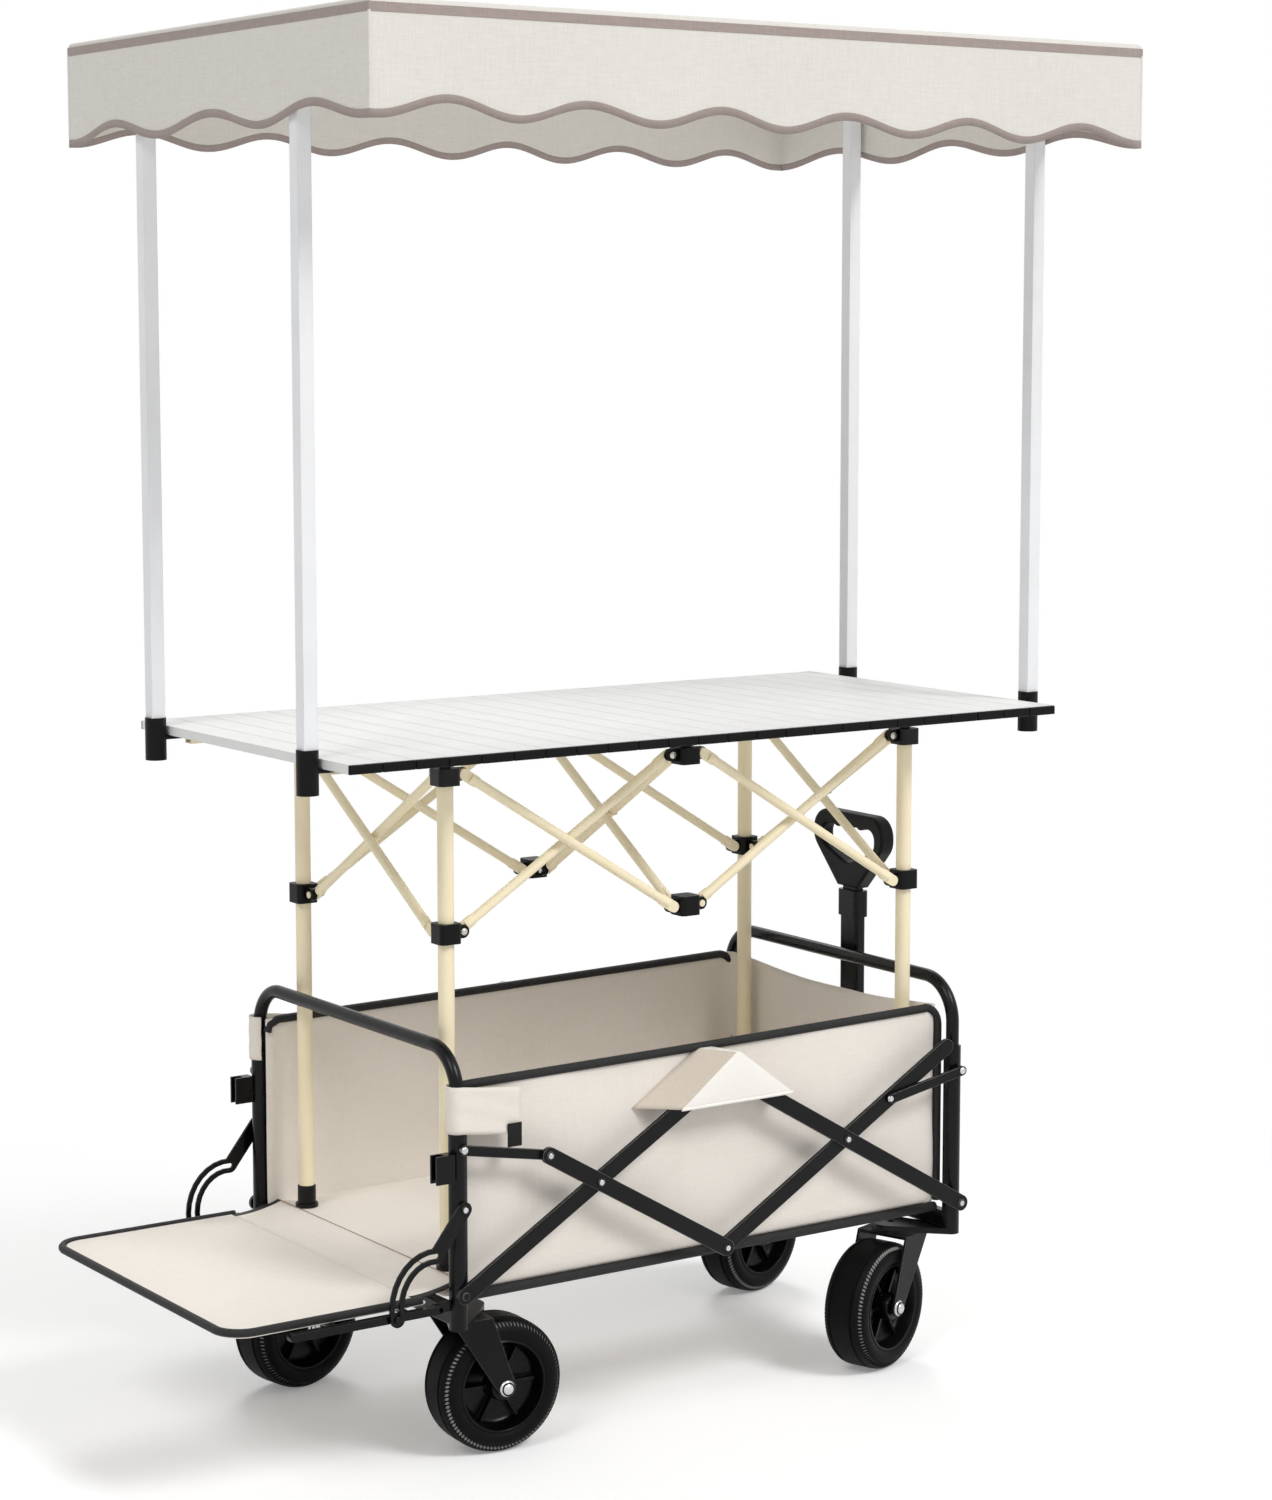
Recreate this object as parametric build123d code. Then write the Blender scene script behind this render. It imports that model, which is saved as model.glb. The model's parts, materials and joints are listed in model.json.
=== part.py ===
"""Snack cart: a folding wagon, a folding table frame that stands in its tub, a roll-up
slat top with four square poles, and a fabric canopy with a scalloped valance.

Frame of the model: +X points to the pull-handle end, -X to the open tailgate, -Y to the
front, +Z up, with the floor at Z = 0. Lengths are millimetres and angles are degrees.
"""
import os
from math import atan2, cos, degrees, hypot, radians, sin, tan

from build123d import *

os.makedirs("parts", exist_ok=True)

# Clearances
running_gap = 0.1     # radial, between a pin or shaft and its bore
slide_gap = 0.4       # between pieces that slide past each other
seat_gap = 0.5        # between a loose piece and what it rests on

# Wagon: the two end frames
half_length = 402.0         # post axis from the middle of the wagon
half_width = 260.0          # post axis from the centre line
post_d = 24.0
post_bottom = 189.0
post_top = 455.0
hoop_d = 18.0
hoop_wall = 1.5
hoop_top = 545.0            # centre line of the hoop's crossbar
hoop_bend = 58.0
hoop_bottom = 330.0         # how far the hoop reaches down inside the posts
post_bore_bottom = 225.0    # where the tube of a post becomes open inside
end_tube_height = 26.0      # low tube between the two posts of an end
end_tube_width = 16.0
end_tube_round = 4.0

# Wagon: the folding side bars
pivot_z = 236.0             # lowest pivots of the side bars
bar_angle = 30.5            # slope of the bars with the wagon open
bar_width = 22.0
bar_thick = 5.0
bar_gap = 0.5               # between two bars that lie against each other
post_clear = 1.0            # post to the inner side bars
pin_tip = 1.0               # how far a pin stands out past what it carries
bar_pin_d = 6.0
bar_head_d = 10.0
bar_head_thick = 2.0
link_reach = 90.0           # from a crossing to the pin of the post link
link_pin_rise = 187.0       # post pin of a link above the lowest pivot
link_width = 13.0
tall_bar_reach = 205.0      # from the crossing to the free top end of a handle-end bar
floor_tube_d = 10.0         # tube under the tub that ties both sides together

# Wagon: the fabric tub
wall_thick = 2.5
wall_inset = 15.5           # outer face of a side wall inside the post axis
fold_room = 2.0             # lower edge of a side wall above the open tailgate, which folds in under it
tub_top = 511.0
floor_z = 241.5
floor_thick = 4.0
end_wall_inset = 8.0        # outer face of the end wall inside the post axis

# Casters
wheel_d = 177.0
tyre_width = 68.0
rim_d = 122.0
rim_width = 56.0
rim_web = 14.0
rim_shell = 7.0
rib_count = 6               # ribs between the hub and the shell of a rim
rib_width = 30.0
rib_thick = 5.0
hub_d = 40.0
axle_d = 12.0
tread_width = 30.0          # flat band between the grooves
groove_width = 5.0
groove_depth = 2.5
shoulder_inset = 7.0        # where the shoulder rolls over, from the side of the tyre
shoulder_drop = 4.0
bulge_drop = 19.0           # widest place of the tyre below its tread
bead_inset = 4.0            # side of the tyre drawn in at the rim
caster_inset_x = 50.0       # kingpin inside the post axis, along X
caster_inset_y = 70.0       # kingpin inside the post axis, along Y
caster_trail = 42.0         # axle behind the kingpin
kingpin_d = 10.0
fork_thick = 3.5
fork_side_gap = 3.0         # tyre to fork leg
crown_gap = 3.0             # tyre to fork crown
crown_thick = 5.0
crown_back = 32.0           # crown ahead of the kingpin
crown_front = 22.0          # crown on the trailing side
fork_eye_d = 25.0           # round end of a leg at the axle
axle_head_d = 18.0
axle_head_thick = 4.0
washer_d = 26.0
washer_thick = 3.5
caster_plate_d = 54.0       # round end of the plate at the kingpin
caster_plate_thick = 8.0
caster_headings = {         # direction in which each fork trails, as it was left
    "front_left": -4.0,
    "back_left": 190.0,
    "front_right": 199.0,
    "back_right": 14.0,
}

# Tailgate, open and level
hinge_out = 32.0            # hinge axis outside the post axis
hinge_z = 222.0
rail_size = 10.0
rail_length = 209.0
rail_out = 1.0              # inner face of a rail outside the post axis
rail_pin_reach = 66.0       # from the hinge to the pin that rides in the arm's slot
rail_pin_d = 6.0
cross_rod_d = 8.0
cross_rod_shares = (0.2, 0.7)  # places along the rails
panel_clear = 7.0           # rail to the side of the panel
panel_thick = 8.0
panel_start = 12.0          # from the hinge axis to the near edge
panel_end = 291.0           # from the hinge axis to the far edge
panel_corner = 40.0
closed_turn = 90.0          # from open to closed
arm_pivot_z = 347.0
arm_thick = 3.5
arm_width = 20.0
arm_head_thick = 2.1
slot_steps = 9              # straight runs that make up the arm's slot
hinge_plate_thick = 4.0
catch_z = 401.0
catch_height = 36.0
catch_jaw = 3.0
catch_lip = 2.0             # jaw past the closed rail

# Pull handle
handle_out = 28.0           # handle axis outside the post axis
handle_pivot_z = 218.0
handle_foot = 13.0          # tube below its pivot
handle_width = 40.0
handle_depth = 18.0
handle_wall = 2.0
handle_top = 635.0
collar_bottom = 597.0
collar_wall = 3.0
stem_bottom = 255.0
grip_bottom = 640.0
grip_width = 160.0
grip_height = 108.0
grip_depth = 24.0
grip_taper = 44.0           # lower part, where the grip narrows to the stem
grip_corner = 30.0
grip_neck = 46.0
grip_bar = 20.0             # material above and beside the finger opening
grip_round = 4.0
finger_height = 52.0
finger_corner = 15.0
finger_low_d = 48.0         # round foot of the finger opening
bump_d = 26.0               # bumps between the fingers, under the top bar
bump_depth = 3.0
bump_pitch = 26.0
handle_pin_d = 8.0
cheek_thick = 3.0
cheek_width = 18.0

# Table frame
leg_inset = 30.0            # leg axis inside the post axis, along X
hub_top_z = 884.0           # upper pivots
hub_low_z = 682.0           # lower pivots
ear_reach = 24.0            # pivot outside its hub's axis
ear_thick = 7.5
ear_height = 17.0
hub_size = 31.0
hub_height = 26.0
hub_step = 4.0              # upper hub lower by this, where the neck begins
neck_d = 15.0
leg_d = 21.0
leg_wall = 1.5
foot_d = 25.0
foot_height = 30.0
foot_sole = 3.0
foot_base_d = 31.0          # flared base of the foot
foot_base_height = 5.0
table_bar_d = 12.5
eye_thick = 5.0
eye_width = 14.5
eye_length = 20.0
table_pin_d = 5.0
table_head_d = 9.0
table_head_thick = 1.5

# Table top
top_z = 921.0
slat_count = 24
slat_pitch = 47.0
slat_gap = 1.0
slat_thick = 12.0
slat_wall = 1.3
top_half_width = 278.0
rail_height = 11.0
rail_width = 16.0
rail_wall = 1.6
rail_inset = 22.0           # end of a rail inside the end of the slats

# Poles and sockets
pole_size = 19.0
pole_wall = 1.2
pole_out = 19.5             # pole axis outside the rail under the slats
pole_top = 1795.0
socket_d = 28.0
socket_below = 44.0
socket_above = 12.0
socket_floor = 4.0
socket_clear = 1.5          # socket to the end of the slats
socket_arm_width = 20.0
socket_arm_thick = 5.0
socket_arm_length = 95.0

# Canopy
canopy_rise = 25.0          # top of the cloth above the poles
canopy_half_width = 400.0
canopy_wall_gap = 5.0       # pole to the inside of the end valance
cloth_thick = 2.0
valance_height = 125.0
long_waves = 6              # scallops on the front and back valances
short_waves = 3             # scallops on the end valances
scallop_depth = 20.0
canopy_tube_d = 14.0
sleeve_wall = 3.0
sleeve_height = 38.0

# Places worked out from the sizes above
slat_half_length = slat_count * slat_pitch / 2
pole_x = slat_half_length + socket_clear + socket_d / 2
canopy_half_length = pole_x + pole_size / 2 + canopy_wall_gap + cloth_thick
cell = half_length - leg_inset                               # between neighbouring hubs, both ways
pole_y = cell / 2 + pole_out
canopy_top = pole_top + canopy_rise
rail_inner_y = half_width + rail_out
panel_half_width = rail_inner_y - panel_clear
hinge_x = -half_length - hinge_out
handle_x = half_length + handle_out
centre_x = (canopy_half_length + hinge_x - panel_end) / 2    # middle of the overall length
bar_length = half_length / cos(radians(bar_angle))
crossing_reach = bar_length / 2
peak_z = pivot_z + half_length * tan(radians(bar_angle))
inner_layer = half_width + post_d / 2 + post_clear           # nearest face of the inner side bars
outer_layer = inner_layer + bar_thick + bar_gap              # nearest face of the outer side bars
outer_face = outer_layer + bar_thick + slide_gap             # under the heads of the bar rivets
inner_face = inner_layer + bar_thick / 2                     # where those rivets are fixed
arm_near = inner_layer + slide_gap                           # nearest face of a tailgate arm
arm_far = arm_near + arm_thick
tub_bottom = hinge_z + cross_rod_d / 2 + panel_thick + fold_room
wall_outer_y = half_width - wall_inset
wall_inner_y = wall_outer_y - wall_thick
floor_half_width = wall_inner_y - seat_gap
foot_z = floor_z + floor_thick + seat_gap
axle_z = wheel_d / 2
crown_z = wheel_d + crown_gap
caster_x = half_length - caster_inset_x
caster_y = half_width - caster_inset_y
end_tube_z = post_bottom + (caster_plate_thick + end_tube_height) / 2
table_layer = ear_thick / 2 + slide_gap + eye_thick / 2      # axis of a table bar from its hub's axis
rail_top = top_z - slat_thick
rail_bottom = rail_top - rail_height
neck_top = rail_bottom - seat_gap
pole_bottom = top_z - socket_below + socket_floor
leg_top = hub_top_z + hub_height / 4


def save(name, *pieces):
    """Write one sub-part, moved so that the middle of the whole cart is at X = 0."""
    solids = []
    for piece in pieces:
        solids += (Pos(-centre_x, 0, 0) * piece).solids()
    export_step(Compound(solids), f"parts/{name}.step")


def both_sides(*pieces):
    """The pieces of the front side and their mirror images on the back side."""
    return list(pieces) + [mirror(piece, about=Plane.XZ) for piece in pieces]


def block(x_range, y_range, z_range):
    """A box between two limits on each axis."""
    sizes = [high - low for low, high in (x_range, y_range, z_range)]
    middle = [(high + low) / 2 for low, high in (x_range, y_range, z_range)]
    return Pos(*middle) * Box(*sizes)


def round_bar(start, end, diameter, wall=0.0):
    """A straight round bar between two points, hollow where a wall is given."""
    run = Vector(*end) - Vector(*start)
    section = Circle(diameter / 2)
    if wall:
        section -= Circle(diameter / 2 - wall)
    return extrude(Plane(start, z_dir=run) * section, run.length)


def strip(start, end, width):
    """Outline of a flat strip with round ends, centred on two points of a plane."""
    (x0, y0), (x1, y1) = start, end
    turn = degrees(atan2(y1 - y0, x1 - x0))
    slot = SlotCenterToCenter(hypot(x1 - x0, y1 - y0), width)
    return Pos((x0 + x1) / 2, (y0 + y1) / 2) * Rot(0, 0, turn) * slot


def side_plate(outline, near, thick):
    """Extrude an X-Z outline outwards on the front side, from |Y| = near."""
    return extrude(Plane((0, -near, 0), x_dir=(1, 0, 0), z_dir=(0, -1, 0)) * outline, thick)


def side_pin(place, near, far, diameter):
    """A pin along Y on the front side, between two distances from the centre line."""
    return side_plate(Pos(*place) * Circle(diameter / 2), near, far - near)


def square_tube(size, wall, x, y, z_range):
    """An upright square tube."""
    section = Rectangle(size, size) - Rectangle(size - 2 * wall, size - 2 * wall)
    return extrude(Plane((x, y, z_range[0])) * section, z_range[1] - z_range[0])


# End frames: a hoop pushed into two posts, which a low tube ties together
def hoop(x):
    """Bent tube that stands in the two posts of one end."""
    path = FilletPolyline(
        (x, -half_width, hoop_bottom),
        (x, -half_width, hoop_top),
        (x, half_width, hoop_top),
        (x, half_width, hoop_bottom),
        radius=hoop_bend,
    )
    section = Circle(hoop_d / 2) - Circle(hoop_d / 2 - hoop_wall)
    return sweep(Plane((x, -half_width, hoop_bottom)) * section, path)


def end_frame(x):
    """Two posts, the low tube and the plates for the casters, welded together."""
    section = RectangleRounded(end_tube_width, end_tube_height, end_tube_round)
    across = Plane((x, -half_width, end_tube_z), x_dir=(1, 0, 0), z_dir=(0, 1, 0))
    frame = extrude(across * section, 2 * half_width)
    kingpin_x = x * caster_x / half_length
    plate_top = post_bottom + caster_plate_thick
    for side in (-1, 1):
        y = side * half_width
        kingpin_y = side * caster_y
        frame += round_bar((x, y, post_bottom), (x, y, post_top), post_d)
        ends = Pos(x, y) * Circle(post_d / 2) + Pos(kingpin_x, kingpin_y) * Circle(caster_plate_d / 2)
        plate = make_hull(ends.edges())
        frame += extrude(Plane((0, 0, post_bottom)) * plate, caster_plate_thick)
        pin_room = kingpin_d + 2 * running_gap
        frame -= round_bar((kingpin_x, kingpin_y, post_bottom), (kingpin_x, kingpin_y, plate_top), pin_room)
    return frame


def bore_posts(frame, x):
    """Open the posts of an end frame for the hoop."""
    for y in (-half_width, half_width):
        frame -= round_bar((x, y, post_bore_bottom), (x, y, post_top), hoop_d + 2 * running_gap)
    return frame


def arm_stud(place, near):
    """Headed pin, from |Y| = near outwards, on which a tailgate arm runs."""
    under_head = arm_far + slide_gap
    return side_pin(place, near, under_head, rail_pin_d) + side_pin(
        place, under_head, under_head + arm_head_thick, bar_head_d
    )


def tailgate_hinge_plates():
    """Plates welded to the posts that carry the tailgate's hinge pins and the arm pins."""
    outline = strip((-half_length, hinge_z), (hinge_x, hinge_z), rail_size + hinge_plate_thick)
    near = rail_inner_y - seat_gap - hinge_plate_thick
    plate = side_plate(outline, near, hinge_plate_thick)
    pin = side_pin((hinge_x, hinge_z), near, rail_inner_y + rail_size / 2, rail_pin_d)
    arm_pin = arm_stud((-half_length, arm_pivot_z), half_width)
    return both_sides(plate, pin, arm_pin)


def tailgate_catch():
    """Spring clip on a left post, open outwards, that grips the rail of the closed tailgate."""
    back = -half_length - post_d / 2 - seat_gap
    base_depth = hinge_out - post_d / 2 - rail_size / 2 - 3 * seat_gap
    z_range = (catch_z - catch_height / 2, catch_z + catch_height / 2)
    inner = (rail_inner_y - slide_gap - catch_jaw, rail_inner_y - slide_gap)
    outer = (rail_inner_y + rail_size + slide_gap, rail_inner_y + rail_size + slide_gap + catch_jaw)
    base = block((back - base_depth, back), (-outer[1], -inner[0]), z_range)
    jaw_tip = hinge_x - rail_size / 2 - catch_lip
    for low, high in (inner, outer):
        base += block((jaw_tip, back), (-high, -low), z_range)
    return base


# Side bars: on each side two crossed pairs, riveted at their crossings, that fold together
def side_point(end, reach, up):
    """Point of a side bar, measured along the bar from the lowest pivot of one end."""
    slope = radians(bar_angle)
    return end * (half_length - reach * cos(slope)), pivot_z + up * reach * sin(slope)


def flat_bar(start, end, near, holes):
    """One flat side bar with round ends and its pin holes."""
    outline = strip(start, end, bar_width)
    for hole in holes:
        outline -= Pos(*hole) * Circle(bar_pin_d / 2 + running_gap)
    return side_plate(outline, near, bar_thick)


def bar_head(place, near):
    """Rivet head on the outer face of a bar."""
    return side_pin(place, near, near + bar_head_thick, bar_head_d)


def bar_rivet(place, near, far):
    """Rivet through two bars with a head on the outside."""
    return side_pin(place, near, far, bar_pin_d) + bar_head(place, far)


def beyond_crossing(end, reach):
    """Point on a middle-to-top bar, measured from its crossing towards the end frame."""
    slope = radians(bar_angle)
    x, z = side_point(end, crossing_reach, 1)
    return x + end * reach * cos(slope), z + reach * sin(slope)


peak = (0.0, peak_z)
floor_joint = (0.0, pivot_z)
left_foot = (-half_length, pivot_z)
right_foot = (half_length, pivot_z)
left_crossing = side_point(-1, crossing_reach, 1)
right_crossing = side_point(1, crossing_reach, 1)
left_link_end = beyond_crossing(-1, link_reach)
right_link_end = beyond_crossing(1, link_reach)
tall_end = beyond_crossing(1, tall_bar_reach)
left_link_pin = (-half_length, pivot_z + link_pin_rise)
right_link_pin = (half_length, pivot_z + link_pin_rise)

save("left_hoop", hoop(-half_length))
save("right_hoop", hoop(half_length))


def left_posts():
    """Left end frame with hinge plates and pins, and the two separate tailgate catches."""
    frame = end_frame(-half_length)
    link_pin = side_pin(left_link_pin, half_width, inner_layer + bar_thick + pin_tip, bar_pin_d)
    for piece in tailgate_hinge_plates() + both_sides(link_pin):
        frame += piece
    return [bore_posts(frame, -half_length)] + both_sides(tailgate_catch())


def right_posts():
    """Right end frame with the two cheeks and the pin that carry the pull handle."""
    frame = end_frame(half_length)
    link_pin = side_pin(right_link_pin, half_width, outer_layer + bar_thick + pin_tip, bar_pin_d)
    cheek_near = handle_width / 2 + slide_gap
    outline = strip((half_length, end_tube_z), (handle_x, handle_pivot_z), cheek_width)
    cheek = side_plate(outline, cheek_near, cheek_thick)
    for piece in both_sides(link_pin, cheek):
        frame += piece
    cheek_far = cheek_near + cheek_thick
    frame += side_pin((handle_x, handle_pivot_z), -cheek_far, cheek_far, handle_pin_d)
    return bore_posts(frame, half_length)


save("left_posts", *left_posts())
save("right_posts", right_posts())

# Bars that rise from the left foot to the peak, on the inner layer
left_rising = flat_bar(left_foot, peak, inner_layer, [])
left_rising += bar_rivet(left_crossing, inner_face, outer_face)
left_rising += bar_rivet(peak, inner_face, outer_face)
left_rising += bar_head(left_foot, inner_layer + bar_thick)
save("left_rising_bars", *both_sides(left_rising))

# Bars from the left link down to the floor joint, on the outer layer
left_falling = flat_bar(left_link_end, floor_joint, outer_layer, [left_crossing, floor_joint])
left_falling += bar_head(left_link_end, outer_layer + bar_thick)
save("left_falling_bars", *both_sides(left_falling))

# Bars from the floor joint up past the right crossing to the free top, on the inner layer
right_rising = flat_bar(floor_joint, tall_end, inner_layer, [floor_joint])
right_rising += bar_rivet(right_crossing, inner_face, outer_face)
save("right_rising_bars", *both_sides(right_rising))

# Bars from the peak down to the right foot, on the outer layer
right_falling = flat_bar(peak, right_foot, outer_layer, [peak, right_crossing])
right_falling += bar_head(right_foot, outer_layer + bar_thick)
save("right_falling_bars", *both_sides(right_falling))


def post_link(pin, far_end, near):
    """Short link between a post pin and a side bar."""
    outline = strip(pin, far_end, link_width) - Pos(*pin) * Circle(bar_pin_d / 2 + running_gap)
    return side_plate(outline, near, bar_thick)


save("left_links", *both_sides(post_link(left_link_pin, left_link_end, inner_layer)))
save("right_links", *both_sides(post_link(right_link_pin, right_link_end, outer_layer)))


def floor_tube():
    """Tube under the tub whose end pins carry the low joint of both sides."""
    tube_end = inner_layer - slide_gap
    tube = round_bar((0, -tube_end, pivot_z), (0, tube_end, pivot_z), floor_tube_d)
    for piece in both_sides(bar_rivet(floor_joint, tube_end - pin_tip, outer_face)):
        tube += piece
    return tube


save("floor_tube", floor_tube())

# Fabric tub: floor board, two side walls and the wall at the handle end
wall_half_length = half_length - end_wall_inset - wall_thick - seat_gap
floor_board = block(
    (-wall_half_length, wall_half_length),
    (-floor_half_width, floor_half_width),
    (floor_z, floor_z + floor_thick),
)
save("tub_floor", floor_board)
side_wall = block(
    (-half_length, half_length - end_wall_inset), (-wall_outer_y, -wall_inner_y), (tub_bottom, tub_top)
)
tube_room = floor_tube_d + 2 * slide_gap
side_wall -= round_bar((0, -half_width, pivot_z), (0, 0, pivot_z), tube_room)
save("tub_side_walls", *both_sides(side_wall))
end_wall = block(
    (half_length - end_wall_inset - wall_thick, half_length - end_wall_inset),
    (-floor_half_width, floor_half_width),
    (floor_z + floor_thick + seat_gap, tub_top),
)
save("tub_end_wall", end_wall)


# Casters: pressed fork on a kingpin, axle bolt, rim and tyre
def caster_place(name):
    """Place of a caster's kingpin on the floor, turned to its heading."""
    x = caster_x if name.endswith("right") else -caster_x
    y = caster_y if name.startswith("back") else -caster_y
    return Pos(x, y, 0) * Rot(0, 0, caster_headings[name])


fork_inside = tyre_width / 2 + fork_side_gap
fork_outside = fork_inside + fork_thick


def fork():
    """Crown plate with two legs that taper to the axle, and the kingpin on top."""
    leg = make_hull(
        (
            Pos(caster_trail, axle_z) * Circle(fork_eye_d / 2)
            + Pos((crown_front - crown_back) / 2, crown_z + crown_thick / 2)
            * Rectangle(crown_front + crown_back, crown_thick)
        ).edges()
    )
    piece = side_plate(leg, fork_inside, fork_thick)
    piece += mirror(piece, about=Plane.XZ)
    piece += block(
        (-crown_back, crown_front), (-fork_outside, fork_outside), (crown_z, crown_z + crown_thick)
    )
    piece += round_bar((0, 0, crown_z), (0, 0, post_bottom + caster_plate_thick / 2), kingpin_d)
    piece -= side_pin((caster_trail, axle_z), -fork_outside, fork_outside, axle_d)
    washer = Circle(washer_d / 2) - Circle(kingpin_d / 2 + running_gap)
    washer = extrude(Plane((0, 0, crown_z + crown_thick)) * washer, washer_thick)
    return piece, washer


def axle_bolt():
    """Axle bolt with a head on each side of the fork."""
    axle = (caster_trail, axle_z)
    bolt = side_pin(axle, -fork_outside, fork_outside, axle_d)
    for near in (fork_outside, -fork_outside - axle_head_thick):
        bolt += side_pin(axle, near, near + axle_head_thick, axle_head_d)
    return bolt


def wheel_profile(points):
    """Turn a closed half-section, given as distance along the axle and radius, about the axle."""
    outline = make_face(Polyline(*points, close=True))
    turned = revolve(outline, Axis.X)
    return Pos(caster_trail, 0, axle_z) * Rot(0, 0, 90) * turned


def rim():
    """Moulded rim: hub tube, a web set back from both faces, ribs, and the bead seat."""
    seat = rim_width / 2
    web = rim_web / 2
    shell = rim_shell
    bore = axle_d / 2 + running_gap
    r_hub = hub_d / 2
    r_rim = rim_d / 2
    half = [
        (web, r_hub + 4),
        (web, r_rim - shell - 4),
        (web + 6, r_rim - shell),
        (seat, r_rim - shell + 2),
        (seat, r_rim),
    ]
    hub_end = tyre_width / 2 - 1
    left = [(-x, r) for x, r in reversed(half)]
    piece = wheel_profile(
        [(hub_end, bore), (hub_end, r_hub - 3), (web + 4, r_hub)] + half + left
        + [(-web - 4, r_hub), (-hub_end, r_hub - 3), (-hub_end, bore)]
    )
    rib = block(
        (r_hub - 3, r_rim - shell / 2),
        (-rib_width / 2, rib_width / 2),
        (-rib_thick / 2, rib_thick / 2),
    )
    for step in range(rib_count):
        piece += Pos(caster_trail, 0, axle_z) * Rot(0, step * 360 / rib_count, 0) * rib
    return piece


def tyre():
    """Solid tyre with a flat tread, rolled shoulders and a groove each side of the tread."""
    tread = wheel_d / 2
    side = tyre_width / 2
    seat = rim_d / 2
    groove = tread_width / 2
    half = [
        (groove, tread),
        (groove + groove_width / 2, tread - groove_depth),
        (groove + groove_width, tread),
        (side - shoulder_inset, tread - shoulder_drop),
        (side - shoulder_inset / 4, tread - (shoulder_drop + bulge_drop) / 2),
        (side, tread - bulge_drop),
        (side - bead_inset, seat + bead_inset / 2),
        (rim_width / 2, seat),
    ]
    left = [(-x, r) for x, r in half]
    return wheel_profile(half + left[::-1])


for caster in caster_headings:
    place = caster_place(caster)
    fork_piece, washer_piece = fork()
    save(f"{caster}_fork", place * fork_piece, place * washer_piece, place * axle_bolt())
    save(f"{caster}_wheel", place * rim(), place * tyre())


# Tailgate: welded frame, covered panel and two slotted arms
def tailgate_frame():
    """Two side rails joined by cross rods, with the pins that ride in the arms."""
    rail_outline = strip((hinge_x, hinge_z), (hinge_x - rail_length, hinge_z), rail_size)
    rail_outline -= Pos(hinge_x, hinge_z) * Circle(rail_pin_d / 2 + running_gap)
    rail = side_plate(rail_outline, rail_inner_y, rail_size)
    pin = arm_stud((hinge_x - rail_pin_reach, hinge_z), rail_inner_y + rail_size / 2)
    rods = []
    rod_reach = rail_inner_y + rail_size / 2
    for share in cross_rod_shares:
        x = hinge_x - share * rail_length
        rods.append(round_bar((x, -rod_reach, hinge_z), (x, rod_reach, hinge_z), cross_rod_d))
    return Part() + rods + both_sides(rail, pin)


def tailgate_panel():
    """Board in fabric, with round far corners, that lies on the cross rods."""
    near = hinge_x - panel_start
    far = hinge_x - panel_end
    outline = Pos((near + far) / 2, 0) * Rectangle(near - far, 2 * panel_half_width)
    outline = fillet(outline.vertices().group_by(Axis.X)[0], panel_corner)
    bottom = hinge_z + cross_rod_d / 2
    return extrude(Plane((0, 0, bottom)) * outline, panel_thick)


def rail_pin_place(closing):
    """Rail pin as seen from the arm's pivot, with the tailgate closed by an angle."""
    turn = radians(closing)
    x = hinge_x - rail_pin_reach * cos(turn) + half_length
    z = hinge_z + rail_pin_reach * sin(turn) - arm_pivot_z
    return x, z


def arm_direction(closing):
    """Direction from the arm's pivot to the rail pin."""
    x, z = rail_pin_place(closing)
    return degrees(atan2(z, x))


arm_swing = arm_direction(closed_turn) - arm_direction(0)


def slot_point(closing):
    """Point of the arm's slot that holds the rail pin when the tailgate is closed by an angle."""
    x, z = rail_pin_place(closing)
    back = radians(-arm_swing * closing / closed_turn)
    return x * cos(back) - z * sin(back) - half_length, x * sin(back) + z * cos(back) + arm_pivot_z


def tailgate_arm():
    """Slotted arm that stops the open tailgate level and slides along the rail pin as it closes."""
    pivot = (-half_length, arm_pivot_z)
    path = [slot_point(closed_turn * step / slot_steps) for step in range(slot_steps + 1)]
    body = strip(pivot, path[-1], arm_width)
    slot = None
    for start, end in zip(path, path[1:]):
        body += strip(start, end, arm_width)
        run = strip(start, end, rail_pin_d + 2 * slide_gap)
        slot = run if slot is None else slot + run
    body -= slot
    body -= Pos(*pivot) * Circle(rail_pin_d / 2 + running_gap)
    return side_plate(body, arm_near, arm_thick)


save("tailgate_frame", tailgate_frame())
save("tailgate_panel", tailgate_panel())
save("tailgate_arms", *both_sides(tailgate_arm()))


# Pull handle: flat tube on a pivot, a stem that slides in it, and a grip
def flat_section(width, depth):
    """Rounded section of the flat handle tube, width along Y and depth along X."""
    return RectangleRounded(depth, width, min(depth, width) * 0.3)


def handle_tube():
    """Outer flat tube with the pivot hole at its foot and a collar at its top."""
    bottom = handle_pivot_z - handle_foot
    inside = flat_section(handle_width - 2 * handle_wall, handle_depth - 2 * handle_wall)
    outside = flat_section(handle_width, handle_depth)
    collar = flat_section(handle_width + 2 * collar_wall, handle_depth + 2 * collar_wall)
    tube = extrude(Plane((handle_x, 0, bottom)) * outside, handle_top - bottom)
    tube += extrude(Plane((handle_x, 0, collar_bottom)) * collar, handle_top - collar_bottom)
    tube -= extrude(Plane((handle_x, 0, stem_bottom - seat_gap)) * inside, handle_top - stem_bottom + 1)
    pin_hole = handle_pin_d + 2 * running_gap
    y = handle_width / 2 + 1
    tube -= round_bar((handle_x, -y, handle_pivot_z), (handle_x, y, handle_pivot_z), pin_hole)
    return tube


def handle_stem():
    """Inner flat tube that slides in the handle tube."""
    play = 2 * (handle_wall + slide_gap)
    width, depth = handle_width - play, handle_depth - play
    section = flat_section(width, depth) - flat_section(width - 2 * handle_wall, depth - 2 * handle_wall)
    return extrude(Plane((handle_x, 0, stem_bottom)) * section, grip_bottom - stem_bottom)


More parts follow.
